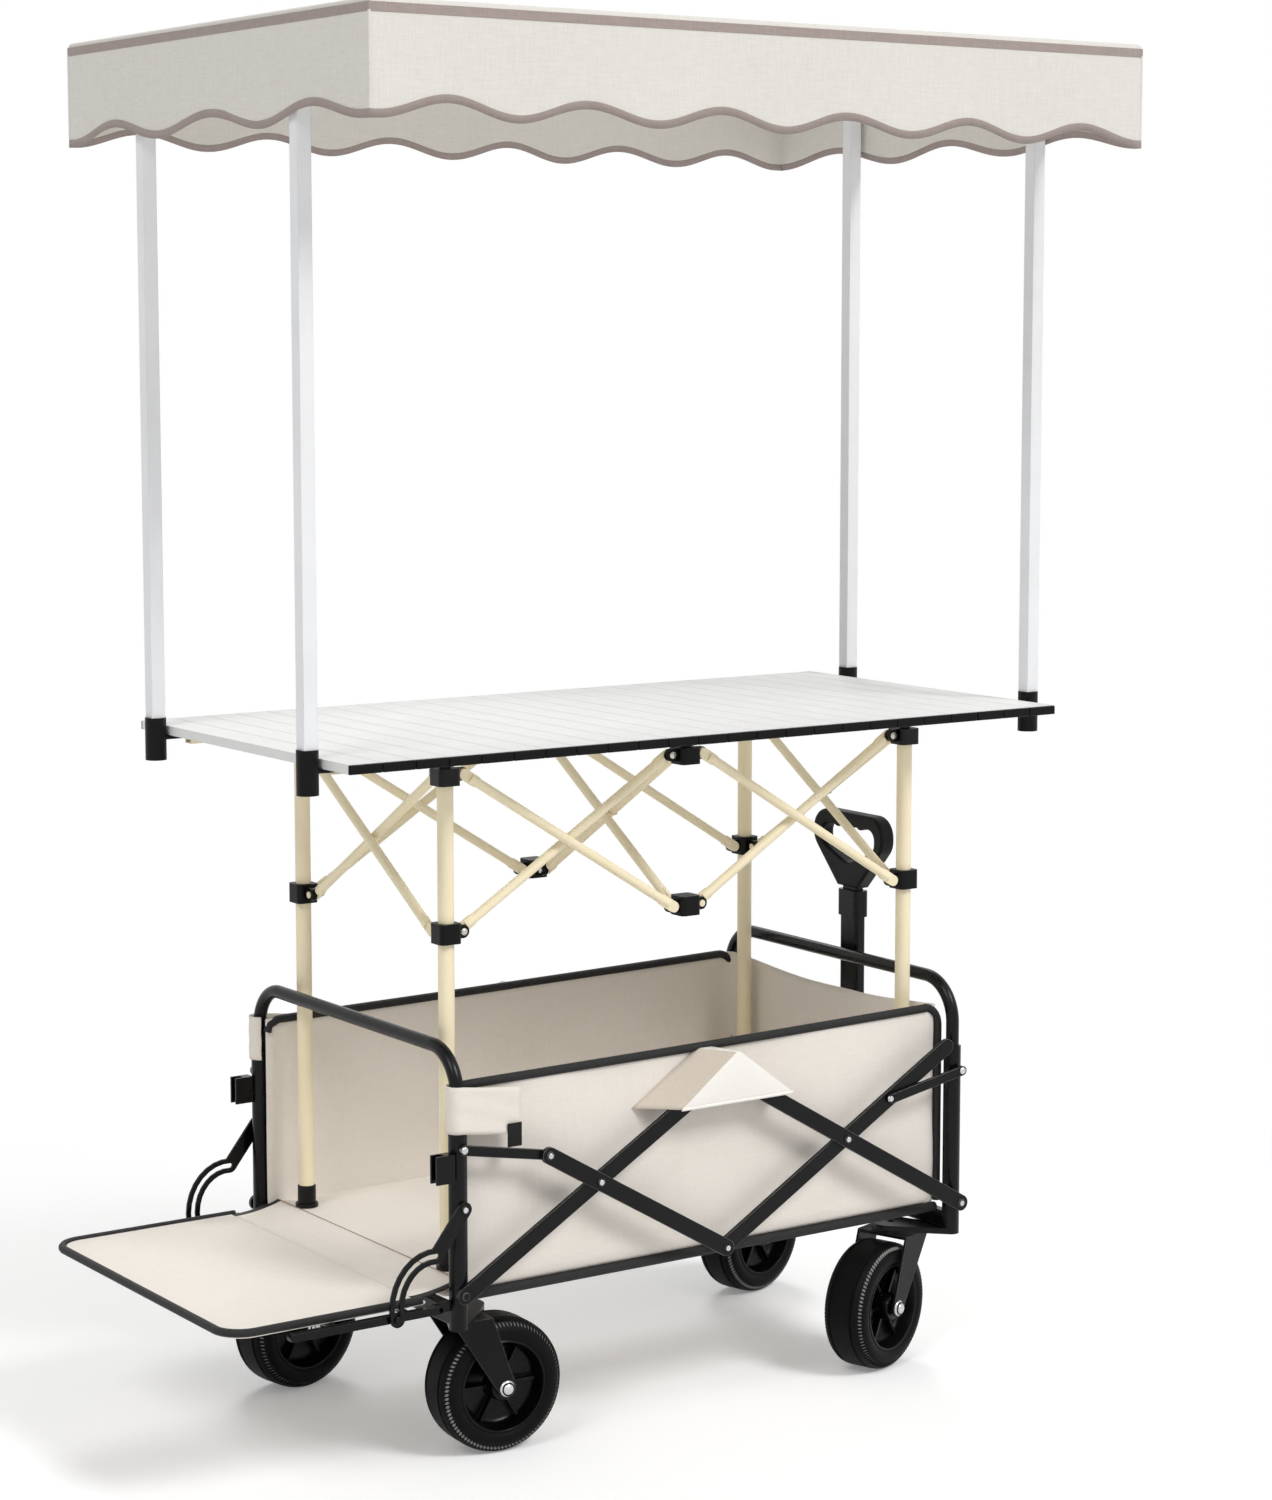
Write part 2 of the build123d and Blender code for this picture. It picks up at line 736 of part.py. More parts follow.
def handle_grip():
    """Shield-shaped ring that narrows to the stem, with bumps between the fingers."""
    top = grip_height / 2
    ring_height = grip_height - grip_taper
    ring = Pos(0, top - ring_height / 2) * RectangleRounded(grip_width, ring_height, grip_corner)
    neck = Pos(0, grip_round - top) * Rectangle(grip_neck, 2 * grip_round)
    finger_top = top - grip_bar
    finger_upper = 2 * finger_corner + grip_round
    upper = RectangleRounded(grip_width - 2 * grip_bar, finger_upper, finger_corner)
    lower = Circle(finger_low_d / 2)
    upper = Pos(0, finger_top - finger_upper / 2) * upper
    lower = Pos(0, finger_top - finger_height + finger_low_d / 2) * lower
    opening = make_hull((upper + lower).edges())
    face = Plane((handle_x - grip_depth / 2, 0, grip_bottom + top), x_dir=(0, 1, 0), z_dir=(1, 0, 0))
    grip = extrude(face * (make_hull((ring + neck).edges()) - opening), grip_depth)
    edges = grip.faces().sort_by(Axis.X)[0].edges() + grip.faces().sort_by(Axis.X)[-1].edges()
    grip = fillet(edges, grip_round)
    for step in (-1, 0, 1):
        bump = Pos(step * bump_pitch, finger_top + bump_d / 2 - bump_depth) * Circle(bump_d / 2)
        grip += extrude(face.offset(grip_round) * (bump & opening), grip_depth - 2 * grip_round)
    return grip


save("handle_tube", handle_tube())
save("handle_stem", handle_stem())
save("handle_grip", handle_grip())

# Table frame: hubs on a grid, joined by crossed bars both ways
rows = {"front": -1, "back": 1}
columns = {"left": -1, "middle": 0, "right": 1}


def hub_place(row, column):
    """Axis of a hub."""
    return columns[column] * cell, rows[row] * cell / 2


def hub_ears(row, column, z):
    """Ears of a hub: one towards each neighbour, with its pin hole."""
    x, y = hub_place(row, column)
    outline = strip((0, 0), (ear_reach, 0), ear_height)
    outline -= Pos(ear_reach, 0) * Circle(table_pin_d / 2 + running_gap)
    ear = extrude(Plane.XZ * outline, ear_thick / 2, both=True)
    turns = [90.0 if row == "front" else -90.0]
    if column != "right":
        turns.append(0.0)
    if column != "left":
        turns.append(180.0)
    return [Pos(x, y, z) * Rot(0, 0, turn) * ear for turn in turns]


def hub_block(x, y, low, high):
    """Rounded body of a hub."""
    outline = RectangleRounded(hub_size, hub_size, hub_size * 0.2)
    return extrude(Plane((x, y, low)) * outline, high - low)


def top_hub(row, column):
    """Upper hub with its ears and the neck that the table rail rests on."""
    x, y = hub_place(row, column)
    low = hub_top_z - hub_height / 2
    high = hub_top_z + hub_height / 2 - hub_step
    hub = hub_block(x, y, low, high)
    return hub + [round_bar((x, y, high), (x, y, neck_top), neck_d)] + hub_ears(row, column, hub_top_z)


def low_hub(row, column):
    """Lower hub, which slides on the leg at the corners of the frame."""
    x, y = hub_place(row, column)
    low = hub_low_z - hub_height / 2
    high = hub_low_z + hub_height / 2
    hub = hub_block(x, y, low, high) + hub_ears(row, column, hub_low_z)
    if columns[column]:
        hub -= round_bar((x, y, low), (x, y, high), leg_d + 2 * slide_gap)
    return hub


def leg(row, column):
    """Leg tube, its upper hub and its rubber foot."""
    x, y = hub_place(row, column)
    tube_bottom = foot_z + foot_sole
    tube = round_bar((x, y, tube_bottom), (x, y, leg_top), leg_d, leg_wall)
    hub = top_hub(row, column)
    hub -= round_bar((x, y, hub_top_z - hub_height), (x, y, leg_top), leg_d)
    foot = round_bar((x, y, foot_z), (x, y, foot_z + foot_height), foot_d)
    foot = chamfer(foot.edges().sort_by(Axis.Z)[-1], (foot_d - leg_d) / 4)
    foot += round_bar((x, y, foot_z), (x, y, foot_z + foot_base_height), foot_base_d)
    foot -= round_bar((x, y, tube_bottom), (x, y, foot_z + foot_height), leg_d)
    return tube, hub, foot


def stub(place, low, high, diameter):
    """Short pin across a table bar, between two heights above the plane of its hubs."""
    return round_bar((place.X, place.Y, low), (place.X, place.Y, high), diameter)


def table_bar(plane, start, end, side):
    """Round bar with flattened, pinned eyes. side is 1 on the outer layer and -1 on the inner.

    The plane's local x runs along the row of hubs, its local y is up, and its z points outwards.
    """
    layer = side * table_layer
    tips = [Vector(*start), Vector(*end)]
    run = (tips[1] - tips[0]).normalized()
    far_side = -side * (ear_thick / 2 + slide_gap)
    pieces = []
    necks = []
    for tip, inward in zip(tips, (run, run * -1)):
        eye_end = tip + inward * eye_length
        eye = strip((tip.X, tip.Y), (eye_end.X, eye_end.Y), eye_width)
        pieces.append(extrude(Plane((0, 0, layer - eye_thick / 2)) * eye, eye_thick))
        pieces.append(stub(tip, layer, far_side, table_pin_d))
        pieces.append(stub(tip, far_side, far_side - side * table_head_thick, table_head_d))
        necks.append(tip + inward * (eye_length / 2))
    bar = round_bar((necks[0].X, necks[0].Y, layer), (necks[1].X, necks[1].Y, layer), table_bar_d) + pieces
    middle = (tips[0] + tips[1]) * 0.5
    reach = table_layer + table_bar_d / 2
    if side > 0:
        head = -reach - slide_gap
        bar += stub(middle, layer, head, table_pin_d)
        bar += stub(middle, head, head - table_head_thick, table_head_d)
    else:
        bar -= stub(middle, -reach, reach, table_pin_d + 2 * running_gap)
    return plane.location * bar


def lengthwise_bar(row, cell_name, falling):
    """Bar between two hubs of the front or back row."""
    left = "left" if cell_name == "left" else "middle"
    x, y = hub_place(row, left)
    plane = Plane((x, y, 0), x_dir=(1, 0, 0), z_dir=(0, -1, 0))
    near, far = ear_reach, cell - ear_reach
    if falling:
        return table_bar(plane, (near, hub_top_z), (far, hub_low_z), 1)
    return table_bar(plane, (near, hub_low_z), (far, hub_top_z), -1)


def cross_bar(column, top_row):
    """Bar between the front and the back hub of one column, named by the row of its upper end."""
    x, y = hub_place("back", column)
    plane = Plane((x, y, 0), x_dir=(0, -1, 0), z_dir=(-1, 0, 0))
    near, far = ear_reach, cell - ear_reach
    if top_row == "back":
        return table_bar(plane, (near, hub_top_z), (far, hub_low_z), 1)
    return table_bar(plane, (near, hub_low_z), (far, hub_top_z), -1)


for row in rows:
    for column in columns:
        save(f"{row}_{column}_low_hub", low_hub(row, column))
        if columns[column]:
            save(f"{row}_{column}_leg", *leg(row, column))
        else:
            save(f"{row}_{column}_top_hub", top_hub(row, column))
    for cell_name in ("left", "right"):
        save(f"{row}_{cell_name}_falling_bar", lengthwise_bar(row, cell_name, True))
        save(f"{row}_{cell_name}_rising_bar", lengthwise_bar(row, cell_name, False))
for column in columns:
    for row in rows:
        save(f"{column}_cross_bar_{row}", cross_bar(column, row))


# Table top: slats that roll up, two rails under them, pole sockets and poles
def slats():
    """Crosswise hollow slats, side by side."""
    half = (slat_pitch - slat_gap) / 2
    width = (-top_half_width, top_half_width)
    slat = block((-half, half), width, (top_z - slat_thick, top_z))
    hollow = half - slat_wall
    slat -= block((-hollow, hollow), width, (top_z - slat_thick + slat_wall, top_z - slat_wall))
    first_x = -slat_half_length + slat_pitch / 2
    return [Pos(first_x + index * slat_pitch, 0, 0) * slat for index in range(slat_count)]


def table_rail(y):
    """Hollow rail that rests on the necks of one row of hubs."""
    half = slat_half_length - rail_inset
    reach = rail_width / 2
    hollow = reach - rail_wall
    rail = block((-half, half), (y - reach, y + reach), (rail_bottom, rail_top))
    hollow_z = (rail_bottom + rail_wall, rail_top - rail_wall)
    return rail - block((-half, half), (y - hollow, y + hollow), hollow_z)


def pole_socket(x, y):
    """Round socket with a square hole, and its arm under the slats."""
    side = 1 if x > 0 else -1
    socket = round_bar((x, y, top_z - socket_below), (x, y, top_z + socket_above), socket_d)
    reach = socket_arm_width / 2
    socket += block(
        sorted((x, x - side * socket_arm_length)),
        (y - reach, y + reach),
        (rail_top - socket_arm_thick, rail_top),
    )
    hole = pole_size / 2 + running_gap
    return socket - block((x - hole, x + hole), (y - hole, y + hole), (pole_bottom, top_z + socket_above))


pole_places = [(x, y) for x in (-pole_x, pole_x) for y in (-pole_y, pole_y)]
save("table_slats", *slats())
save("table_rails", *[table_rail(rows[row] * cell / 2) for row in rows])
save("pole_sockets", *[pole_socket(x, y) for x, y in pole_places])
save("poles", *[square_tube(pole_size, pole_wall, x, y, (pole_bottom, pole_top)) for x, y in pole_places])


# Canopy: tube frame that caps the poles, and a sewn cover
def canopy_frame():
    """Welded tube frame with a square sleeve for each pole."""
    z = pole_top + seat_gap + sleeve_wall + canopy_tube_d / 2
    reach = canopy_half_width - 2 * cloth_thick - canopy_tube_d / 2
    tubes = [round_bar((x, -reach, z), (x, reach, z), canopy_tube_d) for x in (-pole_x, pole_x)]
    tubes += [round_bar((-pole_x, y, z), (pole_x, y, z), canopy_tube_d) for y in (-reach, reach)]
    bore = pole_size / 2 + slide_gap
    outside = bore + sleeve_wall
    low = pole_top - sleeve_height
    sleeves = []
    bores = []
    for x, y in pole_places:
        sleeves.append(block((x - outside, x + outside), (y - outside, y + outside), (low, z)))
        bores.append(block((x - bore, x + bore), (y - bore, y + bore), (low, pole_top + seat_gap)))
    return Part() + tubes + sleeves - bores


def scalloped_wall(half_run, waves):
    """Outline of a valance in its own plane: straight top and a wavy lower edge made of arcs."""
    step = half_run / waves
    low = -valance_height
    edges = [Line((-half_run, 0), (half_run, 0))]
    edges.append(Line((half_run, 0), (half_run, low)))
    for index in range(2 * waves):
        x = half_run - index * step
        dip = -scallop_depth / 2 if index % 2 else scallop_depth / 2
        edges.append(ThreePointArc((x, low), (x - step / 2, low + dip), (x - step, low)))
    edges.append(Line((-half_run, low), (-half_run, 0)))
    return make_face(edges)


def canopy_cover():
    """Roof panel and four valance panels, sewn edge to edge."""
    wall_top = canopy_top - cloth_thick
    roof = block(
        (-canopy_half_length, canopy_half_length),
        (-canopy_half_width, canopy_half_width),
        (wall_top, canopy_top),
    )
    front = Plane((0, -canopy_half_width + cloth_thick, wall_top), x_dir=(1, 0, 0), z_dir=(0, -1, 0))
    long_wall = extrude(front * scalloped_wall(canopy_half_length, long_waves), cloth_thick)
    end = Plane((canopy_half_length - cloth_thick, 0, wall_top), x_dir=(0, 1, 0), z_dir=(1, 0, 0))
    short_wall = extrude(end * scalloped_wall(canopy_half_width - cloth_thick, short_waves), cloth_thick)
    return [roof] + both_sides(long_wall) + [short_wall, mirror(short_wall, about=Plane.YZ)]


save("canopy_frame", canopy_frame())
save("canopy_cover", *canopy_cover())
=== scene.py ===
import json
from math import cos, pi, radians, sin

import bmesh
import bpy
import numpy as np
from mathutils import Matrix, Vector, noise

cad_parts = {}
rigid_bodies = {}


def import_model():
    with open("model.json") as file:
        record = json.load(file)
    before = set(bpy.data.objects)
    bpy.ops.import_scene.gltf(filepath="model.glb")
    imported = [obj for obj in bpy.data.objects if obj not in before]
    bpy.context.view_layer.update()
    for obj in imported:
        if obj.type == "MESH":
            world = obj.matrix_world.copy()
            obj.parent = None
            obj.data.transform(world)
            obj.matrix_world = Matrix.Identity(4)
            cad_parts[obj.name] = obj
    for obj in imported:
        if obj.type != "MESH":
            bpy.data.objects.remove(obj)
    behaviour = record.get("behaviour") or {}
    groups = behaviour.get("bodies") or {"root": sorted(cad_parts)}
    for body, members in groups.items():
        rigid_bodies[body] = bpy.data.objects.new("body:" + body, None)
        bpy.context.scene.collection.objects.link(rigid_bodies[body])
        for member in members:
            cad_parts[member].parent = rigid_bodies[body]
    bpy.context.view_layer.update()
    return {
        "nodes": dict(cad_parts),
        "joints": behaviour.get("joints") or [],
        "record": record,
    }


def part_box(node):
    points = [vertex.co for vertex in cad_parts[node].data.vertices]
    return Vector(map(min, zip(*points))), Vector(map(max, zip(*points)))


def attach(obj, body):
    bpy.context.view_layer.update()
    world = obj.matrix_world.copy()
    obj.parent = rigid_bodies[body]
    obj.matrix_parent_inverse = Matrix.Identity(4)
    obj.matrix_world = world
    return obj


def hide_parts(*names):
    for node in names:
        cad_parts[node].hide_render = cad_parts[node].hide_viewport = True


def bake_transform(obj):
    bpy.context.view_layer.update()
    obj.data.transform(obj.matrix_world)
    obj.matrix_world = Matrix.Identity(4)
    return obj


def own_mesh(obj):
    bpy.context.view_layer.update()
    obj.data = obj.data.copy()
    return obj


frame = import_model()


# Wheels
# A moulded rim with a deep dish, ribs and a hub carries a wide soft tyre with two grooves
# and a ring of notches on each shoulder. Both are turned profiles round the axle.
def srgb(red, green, blue):
    """A colour as it looks on screen, 0 to 255, as the linear colour a shader takes."""
    parts = [part / 255 for part in (red, green, blue)]
    return [part / 12.92 if part < 0.04 else ((part + 0.055) / 1.055) ** 2.4 for part in parts] + [1.0]


def new_group(name, inputs, outputs):
    """A shader node group with named inputs and outputs, and its two end nodes."""
    group = bpy.data.node_groups.new(name, "ShaderNodeTree")
    for socket in inputs:
        group.interface.new_socket(socket, in_out="INPUT", socket_type="NodeSocketFloat")
    for socket in outputs:
        kind = "NodeSocketVector" if socket == "Normal" else "NodeSocketFloat"
        group.interface.new_socket(socket, in_out="OUTPUT", socket_type=kind)
    return group, group.nodes.new("NodeGroupInput"), group.nodes.new("NodeGroupOutput")


def grain_group():
    """Skin of paint, plastic and rubber: a slow change of tone and a fine height."""
    group, entry, leave = new_group("fine_grain", ["Scale"], ["Tone", "Height"])
    place = group.nodes.new("ShaderNodeTexCoord")
    fine = group.nodes.new("ShaderNodeTexNoise")
    fine.inputs["Detail"].default_value = 3
    slow = group.nodes.new("ShaderNodeTexNoise")
    slow.inputs["Scale"].default_value = 14
    slow.inputs["Detail"].default_value = 5
    group.links.new(place.outputs["Object"], fine.inputs["Vector"])
    group.links.new(place.outputs["Object"], slow.inputs["Vector"])
    group.links.new(entry.outputs["Scale"], fine.inputs["Scale"])
    group.links.new(slow.outputs["Fac"], leave.inputs["Tone"])
    group.links.new(fine.outputs["Fac"], leave.inputs["Height"])
    return group


def edge_group():
    """Edges of hard pieces: a normal softened round them, and a mask of where they lean, which carries a
    painted highlight.
    """
    group, entry, leave = new_group("soft_edges", ["Radius"], ["Normal", "Rubbed"])
    rounded = group.nodes.new("ShaderNodeBevel")
    flat = group.nodes.new("ShaderNodeNewGeometry")
    lean = group.nodes.new("ShaderNodeVectorMath")
    lean.operation = "DOT_PRODUCT"
    highlit_edges = group.nodes.new("ShaderNodeMapRange")
    highlit_edges.inputs["From Min"].default_value = 0.97
    highlit_edges.inputs["From Max"].default_value = 0.80
    group.links.new(entry.outputs["Radius"], rounded.inputs["Radius"])
    group.links.new(rounded.outputs["Normal"], lean.inputs[0])
    group.links.new(flat.outputs["True Normal"], lean.inputs[1])
    group.links.new(lean.outputs["Value"], highlit_edges.inputs["Value"])
    group.links.new(rounded.outputs["Normal"], leave.inputs["Normal"])
    group.links.new(highlit_edges.outputs["Result"], leave.inputs["Rubbed"])
    return group


def placed(tree, group, **values):
    """A node group placed in a material with its own values."""
    node = tree.nodes.new("ShaderNodeGroup")
    node.node_tree = group
    for socket, value in values.items():
        node.inputs[socket].default_value = value
    return node


def blank(name):
    """A new material with its node tree and shader."""
    material = bpy.data.materials.new(name)
    material.use_nodes = True
    return material, material.node_tree, material.node_tree.nodes["Principled BSDF"]


mix_first, mix_second, mix_result = 6, 7, 2


def two_tone(tree, factor, first, second):
    """Mix two colours by a factor and give the socket that carries the result."""
    mix = tree.nodes.new("ShaderNodeMix")
    mix.data_type = "RGBA"
    mix.inputs[mix_first].default_value = first
    mix.inputs[mix_second].default_value = second
    tree.links.new(factor, mix.inputs[0])
    return mix.outputs[mix_result]


def spread(tree, factor, low, high):
    """Map a factor round its middle onto a range of values."""
    span = tree.nodes.new("ShaderNodeMapRange")
    span.inputs["From Min"].default_value = 0.3
    span.inputs["From Max"].default_value = 0.7
    span.inputs["To Min"].default_value = low
    span.inputs["To Max"].default_value = high
    tree.links.new(factor, span.inputs["Value"])
    return span.outputs["Result"]


def raise_surface(tree, shader, height, strength, depth):
    """Bump the surface by a height."""
    bump = tree.nodes.new("ShaderNodeBump")
    bump.inputs["Strength"].default_value = strength
    bump.inputs["Distance"].default_value = depth
    tree.links.new(height, bump.inputs["Height"])
    tree.links.new(bump.outputs["Normal"], shader.inputs["Normal"])
    return bump


grain = grain_group()
soft_edges = edge_group()
grain_depth, edge_radius = 0.0006, 0.0013
smoother, rougher = 0.05, 0.07


def skin(name, dark, light, rough, scale, strength, metal=0.0, shine=0.5, edged=True, edge_highlight=None):
    """A hard finish: two near tones, a fine bump, softened edges, and a lighter colour along the edges as a
    painted highlight if one is given.
    """
    material, tree, shader = blank(name)
    shader.inputs["Metallic"].default_value = metal
    shader.inputs["Specular IOR Level"].default_value = shine
    speckle = placed(tree, grain, Scale=scale)
    tone = spread(tree, speckle.outputs["Tone"], 0.0, 1.0)
    colour = two_tone(tree, tone, dark, light)
    roughness = spread(tree, speckle.outputs["Tone"], rough - smoother, rough + rougher)
    tree.links.new(roughness, shader.inputs["Roughness"])
    bump = raise_surface(tree, shader, speckle.outputs["Height"], strength, grain_depth)
    if edged:
        edges = placed(tree, soft_edges, Radius=edge_radius)
        tree.links.new(edges.outputs["Normal"], bump.inputs["Normal"])
    # The edges are mixed towards a lighter colour: a painted highlight.
    if edge_highlight:
        highlit_edges = two_tone(tree, edges.outputs["Rubbed"], dark, edge_highlight)
        tree.links.new(colour, highlit_edges.node.inputs[mix_first])
        colour = highlit_edges
    tree.links.new(colour, shader.inputs["Base Color"])
    return material


def shape(name, verts, faces, *materials, sharp=38):
    """A mesh object from points and faces, smooth except at its sharp edges."""
    mesh = bpy.data.meshes.new(name)
    mesh.from_pydata([tuple(vert) for vert in verts], [], [tuple(face) for face in faces])
    work = bmesh.new()
    work.from_mesh(mesh)
    bmesh.ops.recalc_face_normals(work, faces=work.faces)
    work.to_mesh(mesh)
    work.free()
    for material in materials:
        mesh.materials.append(material)
    mesh.polygons.foreach_set("use_smooth", [True] * len(mesh.polygons))
    mesh.set_sharp_from_angle(angle=radians(sharp))
    made = bpy.data.objects.new(name, mesh)
    bpy.context.scene.collection.objects.link(made)
    return made


def turned(profile, turns, notched=()):
    """Points and faces of a profile of (radius, place along Y) turned about the Y axis."""
    verts = []
    for turn in range(turns):
        angle = 2 * pi * turn / turns
        for row, (radius, along) in enumerate(profile):
            if row in notched and turn % 2:
                radius -= notch_depth
            verts.append((radius * cos(angle), along, radius * sin(angle)))
    count = len(profile)
    faces = []
    for turn in range(turns):
        near, far = turn * count, (turn + 1) % turns * count
        for row in range(count - 1):
            faces.append((near + row, near + row + 1, far + row + 1, far + row))
    return verts, faces


def add(verts, faces, more):
    """Append another mesh's points and faces."""
    start = len(verts)
    verts += list(more[0])
    faces += [tuple(index + start for index in face) for face in more[1]]


def brick(low, high):
    """Points and faces of a box between two corners."""
    verts = [(x, y, z) for x in (low[0], high[0]) for y in (low[1], high[1]) for z in (low[2], high[2])]
    return verts, [(0, 1, 3, 2), (4, 6, 7, 5), (0, 4, 5, 1), (2, 3, 7, 6), (0, 2, 6, 4), (1, 5, 7, 3)]


tyre_rubber = skin(
    "tyre_rubber", srgb(6, 6, 7), srgb(11, 11, 12), rough=0.5, scale=900, strength=0.2, shine=0.1
)
# Lighter grey rubber on every other face of the notch rings: a painted highlight on the lugs.
scuffed_rubber = skin(
    "scuffed_rubber", srgb(104, 103, 100), srgb(140, 139, 136), rough=0.5, scale=900, strength=0.1
)
rim_plastic = skin(
    "rim_plastic", srgb(4, 4, 5), srgb(8, 8, 9), rough=0.26, scale=500, strength=0.05, shine=0.16
)
bright_steel = skin(
    "bright_steel", srgb(190, 190, 192), srgb(214, 214, 216),
    rough=0.24, scale=400, strength=0.05, metal=1.0,
)

wheel_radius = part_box("front_left_wheel")[1].z / 2
notch_depth = 0.0024
tyre_half = [
    (wheel_radius, 0.0),
    (wheel_radius, 0.0145),
    (wheel_radius - 0.0022, 0.0153),
    (wheel_radius - 0.0022, 0.0187),
    (wheel_radius - 0.0004, 0.0195),
    (wheel_radius - 0.0012, 0.0225),
    (wheel_radius - 0.0035, 0.0262),
    (wheel_radius - 0.0042, 0.0268),
    (wheel_radius - 0.0064, 0.0292),
    (wheel_radius - 0.0074, 0.0298),
    (wheel_radius - 0.0125, 0.0326),
    (wheel_radius - 0.0185, 0.0338),
    (wheel_radius - 0.0235, 0.0331),
    (wheel_radius - 0.0275, 0.0306),
]
tyre_profile = [(radius, -along) for radius, along in reversed(tyre_half[1:])] + tyre_half
tyre_notches = (4, 5, 6, 20, 21, 22)
tyre_lugs = (4, 5, 20, 21)
rim_half = [
    (0.0610, 0.0290),
    (0.0612, 0.0312),
    (0.0598, 0.0322),
    (0.0580, 0.0318),
    (0.0566, 0.0290),
    (0.0540, 0.0150),
    (0.0515, 0.0105),
    (0.0470, 0.0085),
    (0.0240, 0.0075),
    (0.0205, 0.0090),
    (0.0190, 0.0290),
    (0.0175, 0.0325),
    (0.0090, 0.0332),
]
tyre_turns, rim_turns = 192, 96
rib_count = 6
rib_inner, rib_outer = 0.0185, 0.0525
rib_near, rib_far = 0.006, 0.0185
rib_half = 0.0022

joints = {joint["name"]: joint for joint in frame["joints"]}
spins = [name for name in joints if name.endswith("_spin")]
for spin in spins:
    wheel = spin.removesuffix("_spin")
    verts, faces = turned(tyre_profile, tyre_turns, tyre_notches)
    tyre_faces = len(faces)
    for side in (-1, 1):
        add(verts, faces, turned([(radius, side * along) for radius, along in rim_half], rim_turns))
        for rib in range(rib_count):
            rib_low = (rib_inner, side * rib_near, -rib_half)
            corners, sides = brick(rib_low, (rib_outer, side * rib_far, rib_half))
            turn = Matrix.Rotation(2 * pi * rib / rib_count, 4, "Y")
            add(verts, faces, ([turn @ Vector(corner) for corner in corners], sides))
    rolling = shape(f"{wheel}_rolling_wheel", verts, faces, tyre_rubber, rim_plastic, scuffed_rubber)
    for number, face in enumerate(rolling.data.polygons):
        turn, row = divmod(number, len(tyre_profile) - 1)
        if number >= tyre_faces:
            face.material_index = 1
        # Lug faces that lean one way take the lighter rubber, a painted highlight.
        elif row in tyre_lugs and turn % 2:
            face.material_index = 2
    axle = Vector(joints[spin]["axis"])
    upright = Vector((0, 0, 1))
    facing = Matrix((axle.cross(upright), axle, upright)).transposed()
    rolling.matrix_world = Matrix.Translation(joints[spin]["pos_m"]) @ facing.to_4x4()
    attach(rolling, f"{wheel}_roller")
    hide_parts(f"{wheel}_wheel")


# Forks
# Pressed steel forks in black paint, each with a zinc washer under the plate of its post.
# A bright flanged bolt holds the axle; its domed heads are turned and set on the fork.
def ring_faces(rings, sides):
    """Faces between closed rings of points laid out one after another."""
    faces = []
    for ring in range(rings - 1):
        for step in range(sides):
            low, after = ring * sides + step, ring * sides + (step + 1) % sides
            faces.append((low, after, after + sides, low + sides))
    return faces


def dome(centre, out, radius, height, sides=20, rings=6):
    """Points and faces of a low dome that stands on a surface and points outwards."""
    out = Vector(out).normalized()
    across = out.orthogonal().normalized()
    other = out.cross(across)
    verts = []
    for ring in range(rings):
        lean = ring / (rings - 0.5) * pi / 2
        for step in range(sides):
            angle = 2 * pi * step / sides
            reach = (across * cos(angle) + other * sin(angle)) * radius * cos(lean)
            verts.append(Vector(centre) + reach + out * height * sin(lean))
    verts.append(Vector(centre) + out * height)
    faces = ring_faces(rings, sides)
    last = (rings - 1) * sides
    faces += [(last + step, last + (step + 1) % sides, len(verts) - 1) for step in range(sides)]
    faces.append(tuple(reversed(range(sides))))
    return verts, faces


def dress(material, *names):
    """Give CAD pieces a finish."""
    for name in names:
        for slot in frame["nodes"][name].material_slots:
            slot.material = material


def worked_out(tree, operation, first, second):
    """The result of a step of arithmetic on two sockets, or on a socket and a number."""
    node = tree.nodes.new("ShaderNodeMath")
    node.operation = operation
    tree.links.new(first, node.inputs[0])
    if isinstance(second, (int, float)):
        node.inputs[1].default_value = second
    else:
        tree.links.new(second, node.inputs[1])
    return node.outputs["Value"]


def band_group():
    """A mask that is 1 between two heights above the floor."""
    group, entry, leave = new_group("height_band", ["Low", "High"], ["Mask"])
    place = group.nodes.new("ShaderNodeTexCoord")
    split = group.nodes.new("ShaderNodeSeparateXYZ")
    group.links.new(place.outputs["Object"], split.inputs["Vector"])
    above = worked_out(group, "GREATER_THAN", split.outputs["Z"], entry.outputs["Low"])
    below = worked_out(group, "LESS_THAN", split.outputs["Z"], entry.outputs["High"])
    group.links.new(worked_out(group, "MULTIPLY", above, below), leave.inputs["Mask"])
    return group


height_band = band_group()


def banded(material, low, high, colour, inside):
    """Colour a finish inside a band of heights, or else outside it, and give the band's mask."""
    tree = material.node_tree
    base = tree.nodes["Principled BSDF"].inputs["Base Color"]
    painted = base.links[0].from_socket
    mask = placed(tree, height_band, Low=low, High=high).outputs["Mask"]
    both = two_tone(tree, mask, colour, colour)
    tree.links.new(painted, both.node.inputs[mix_first if inside else mix_second])
    tree.links.new(both, base)
    return mask


black_paint = (srgb(6, 6, 7), srgb(11, 11, 12))
# The fork paint is light grey along all its edges: a painted highlight.
fork_paint = skin(
    "fork_paint", *black_paint, rough=0.34, scale=700, strength=0.1, shine=0.16, edge_highlight=srgb(120, 120, 121)
)
zinc = srgb(186, 186, 188)
post_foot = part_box("left_posts")[0].z
washer_low, washer_high = post_foot - 0.0036, post_foot + 0.001
washer = banded(fork_paint, washer_low, washer_high, zinc, inside=True)
fork_shader = fork_paint.node_tree.nodes["Principled BSDF"]
fork_paint.node_tree.links.new(washer, fork_shader.inputs["Metallic"])

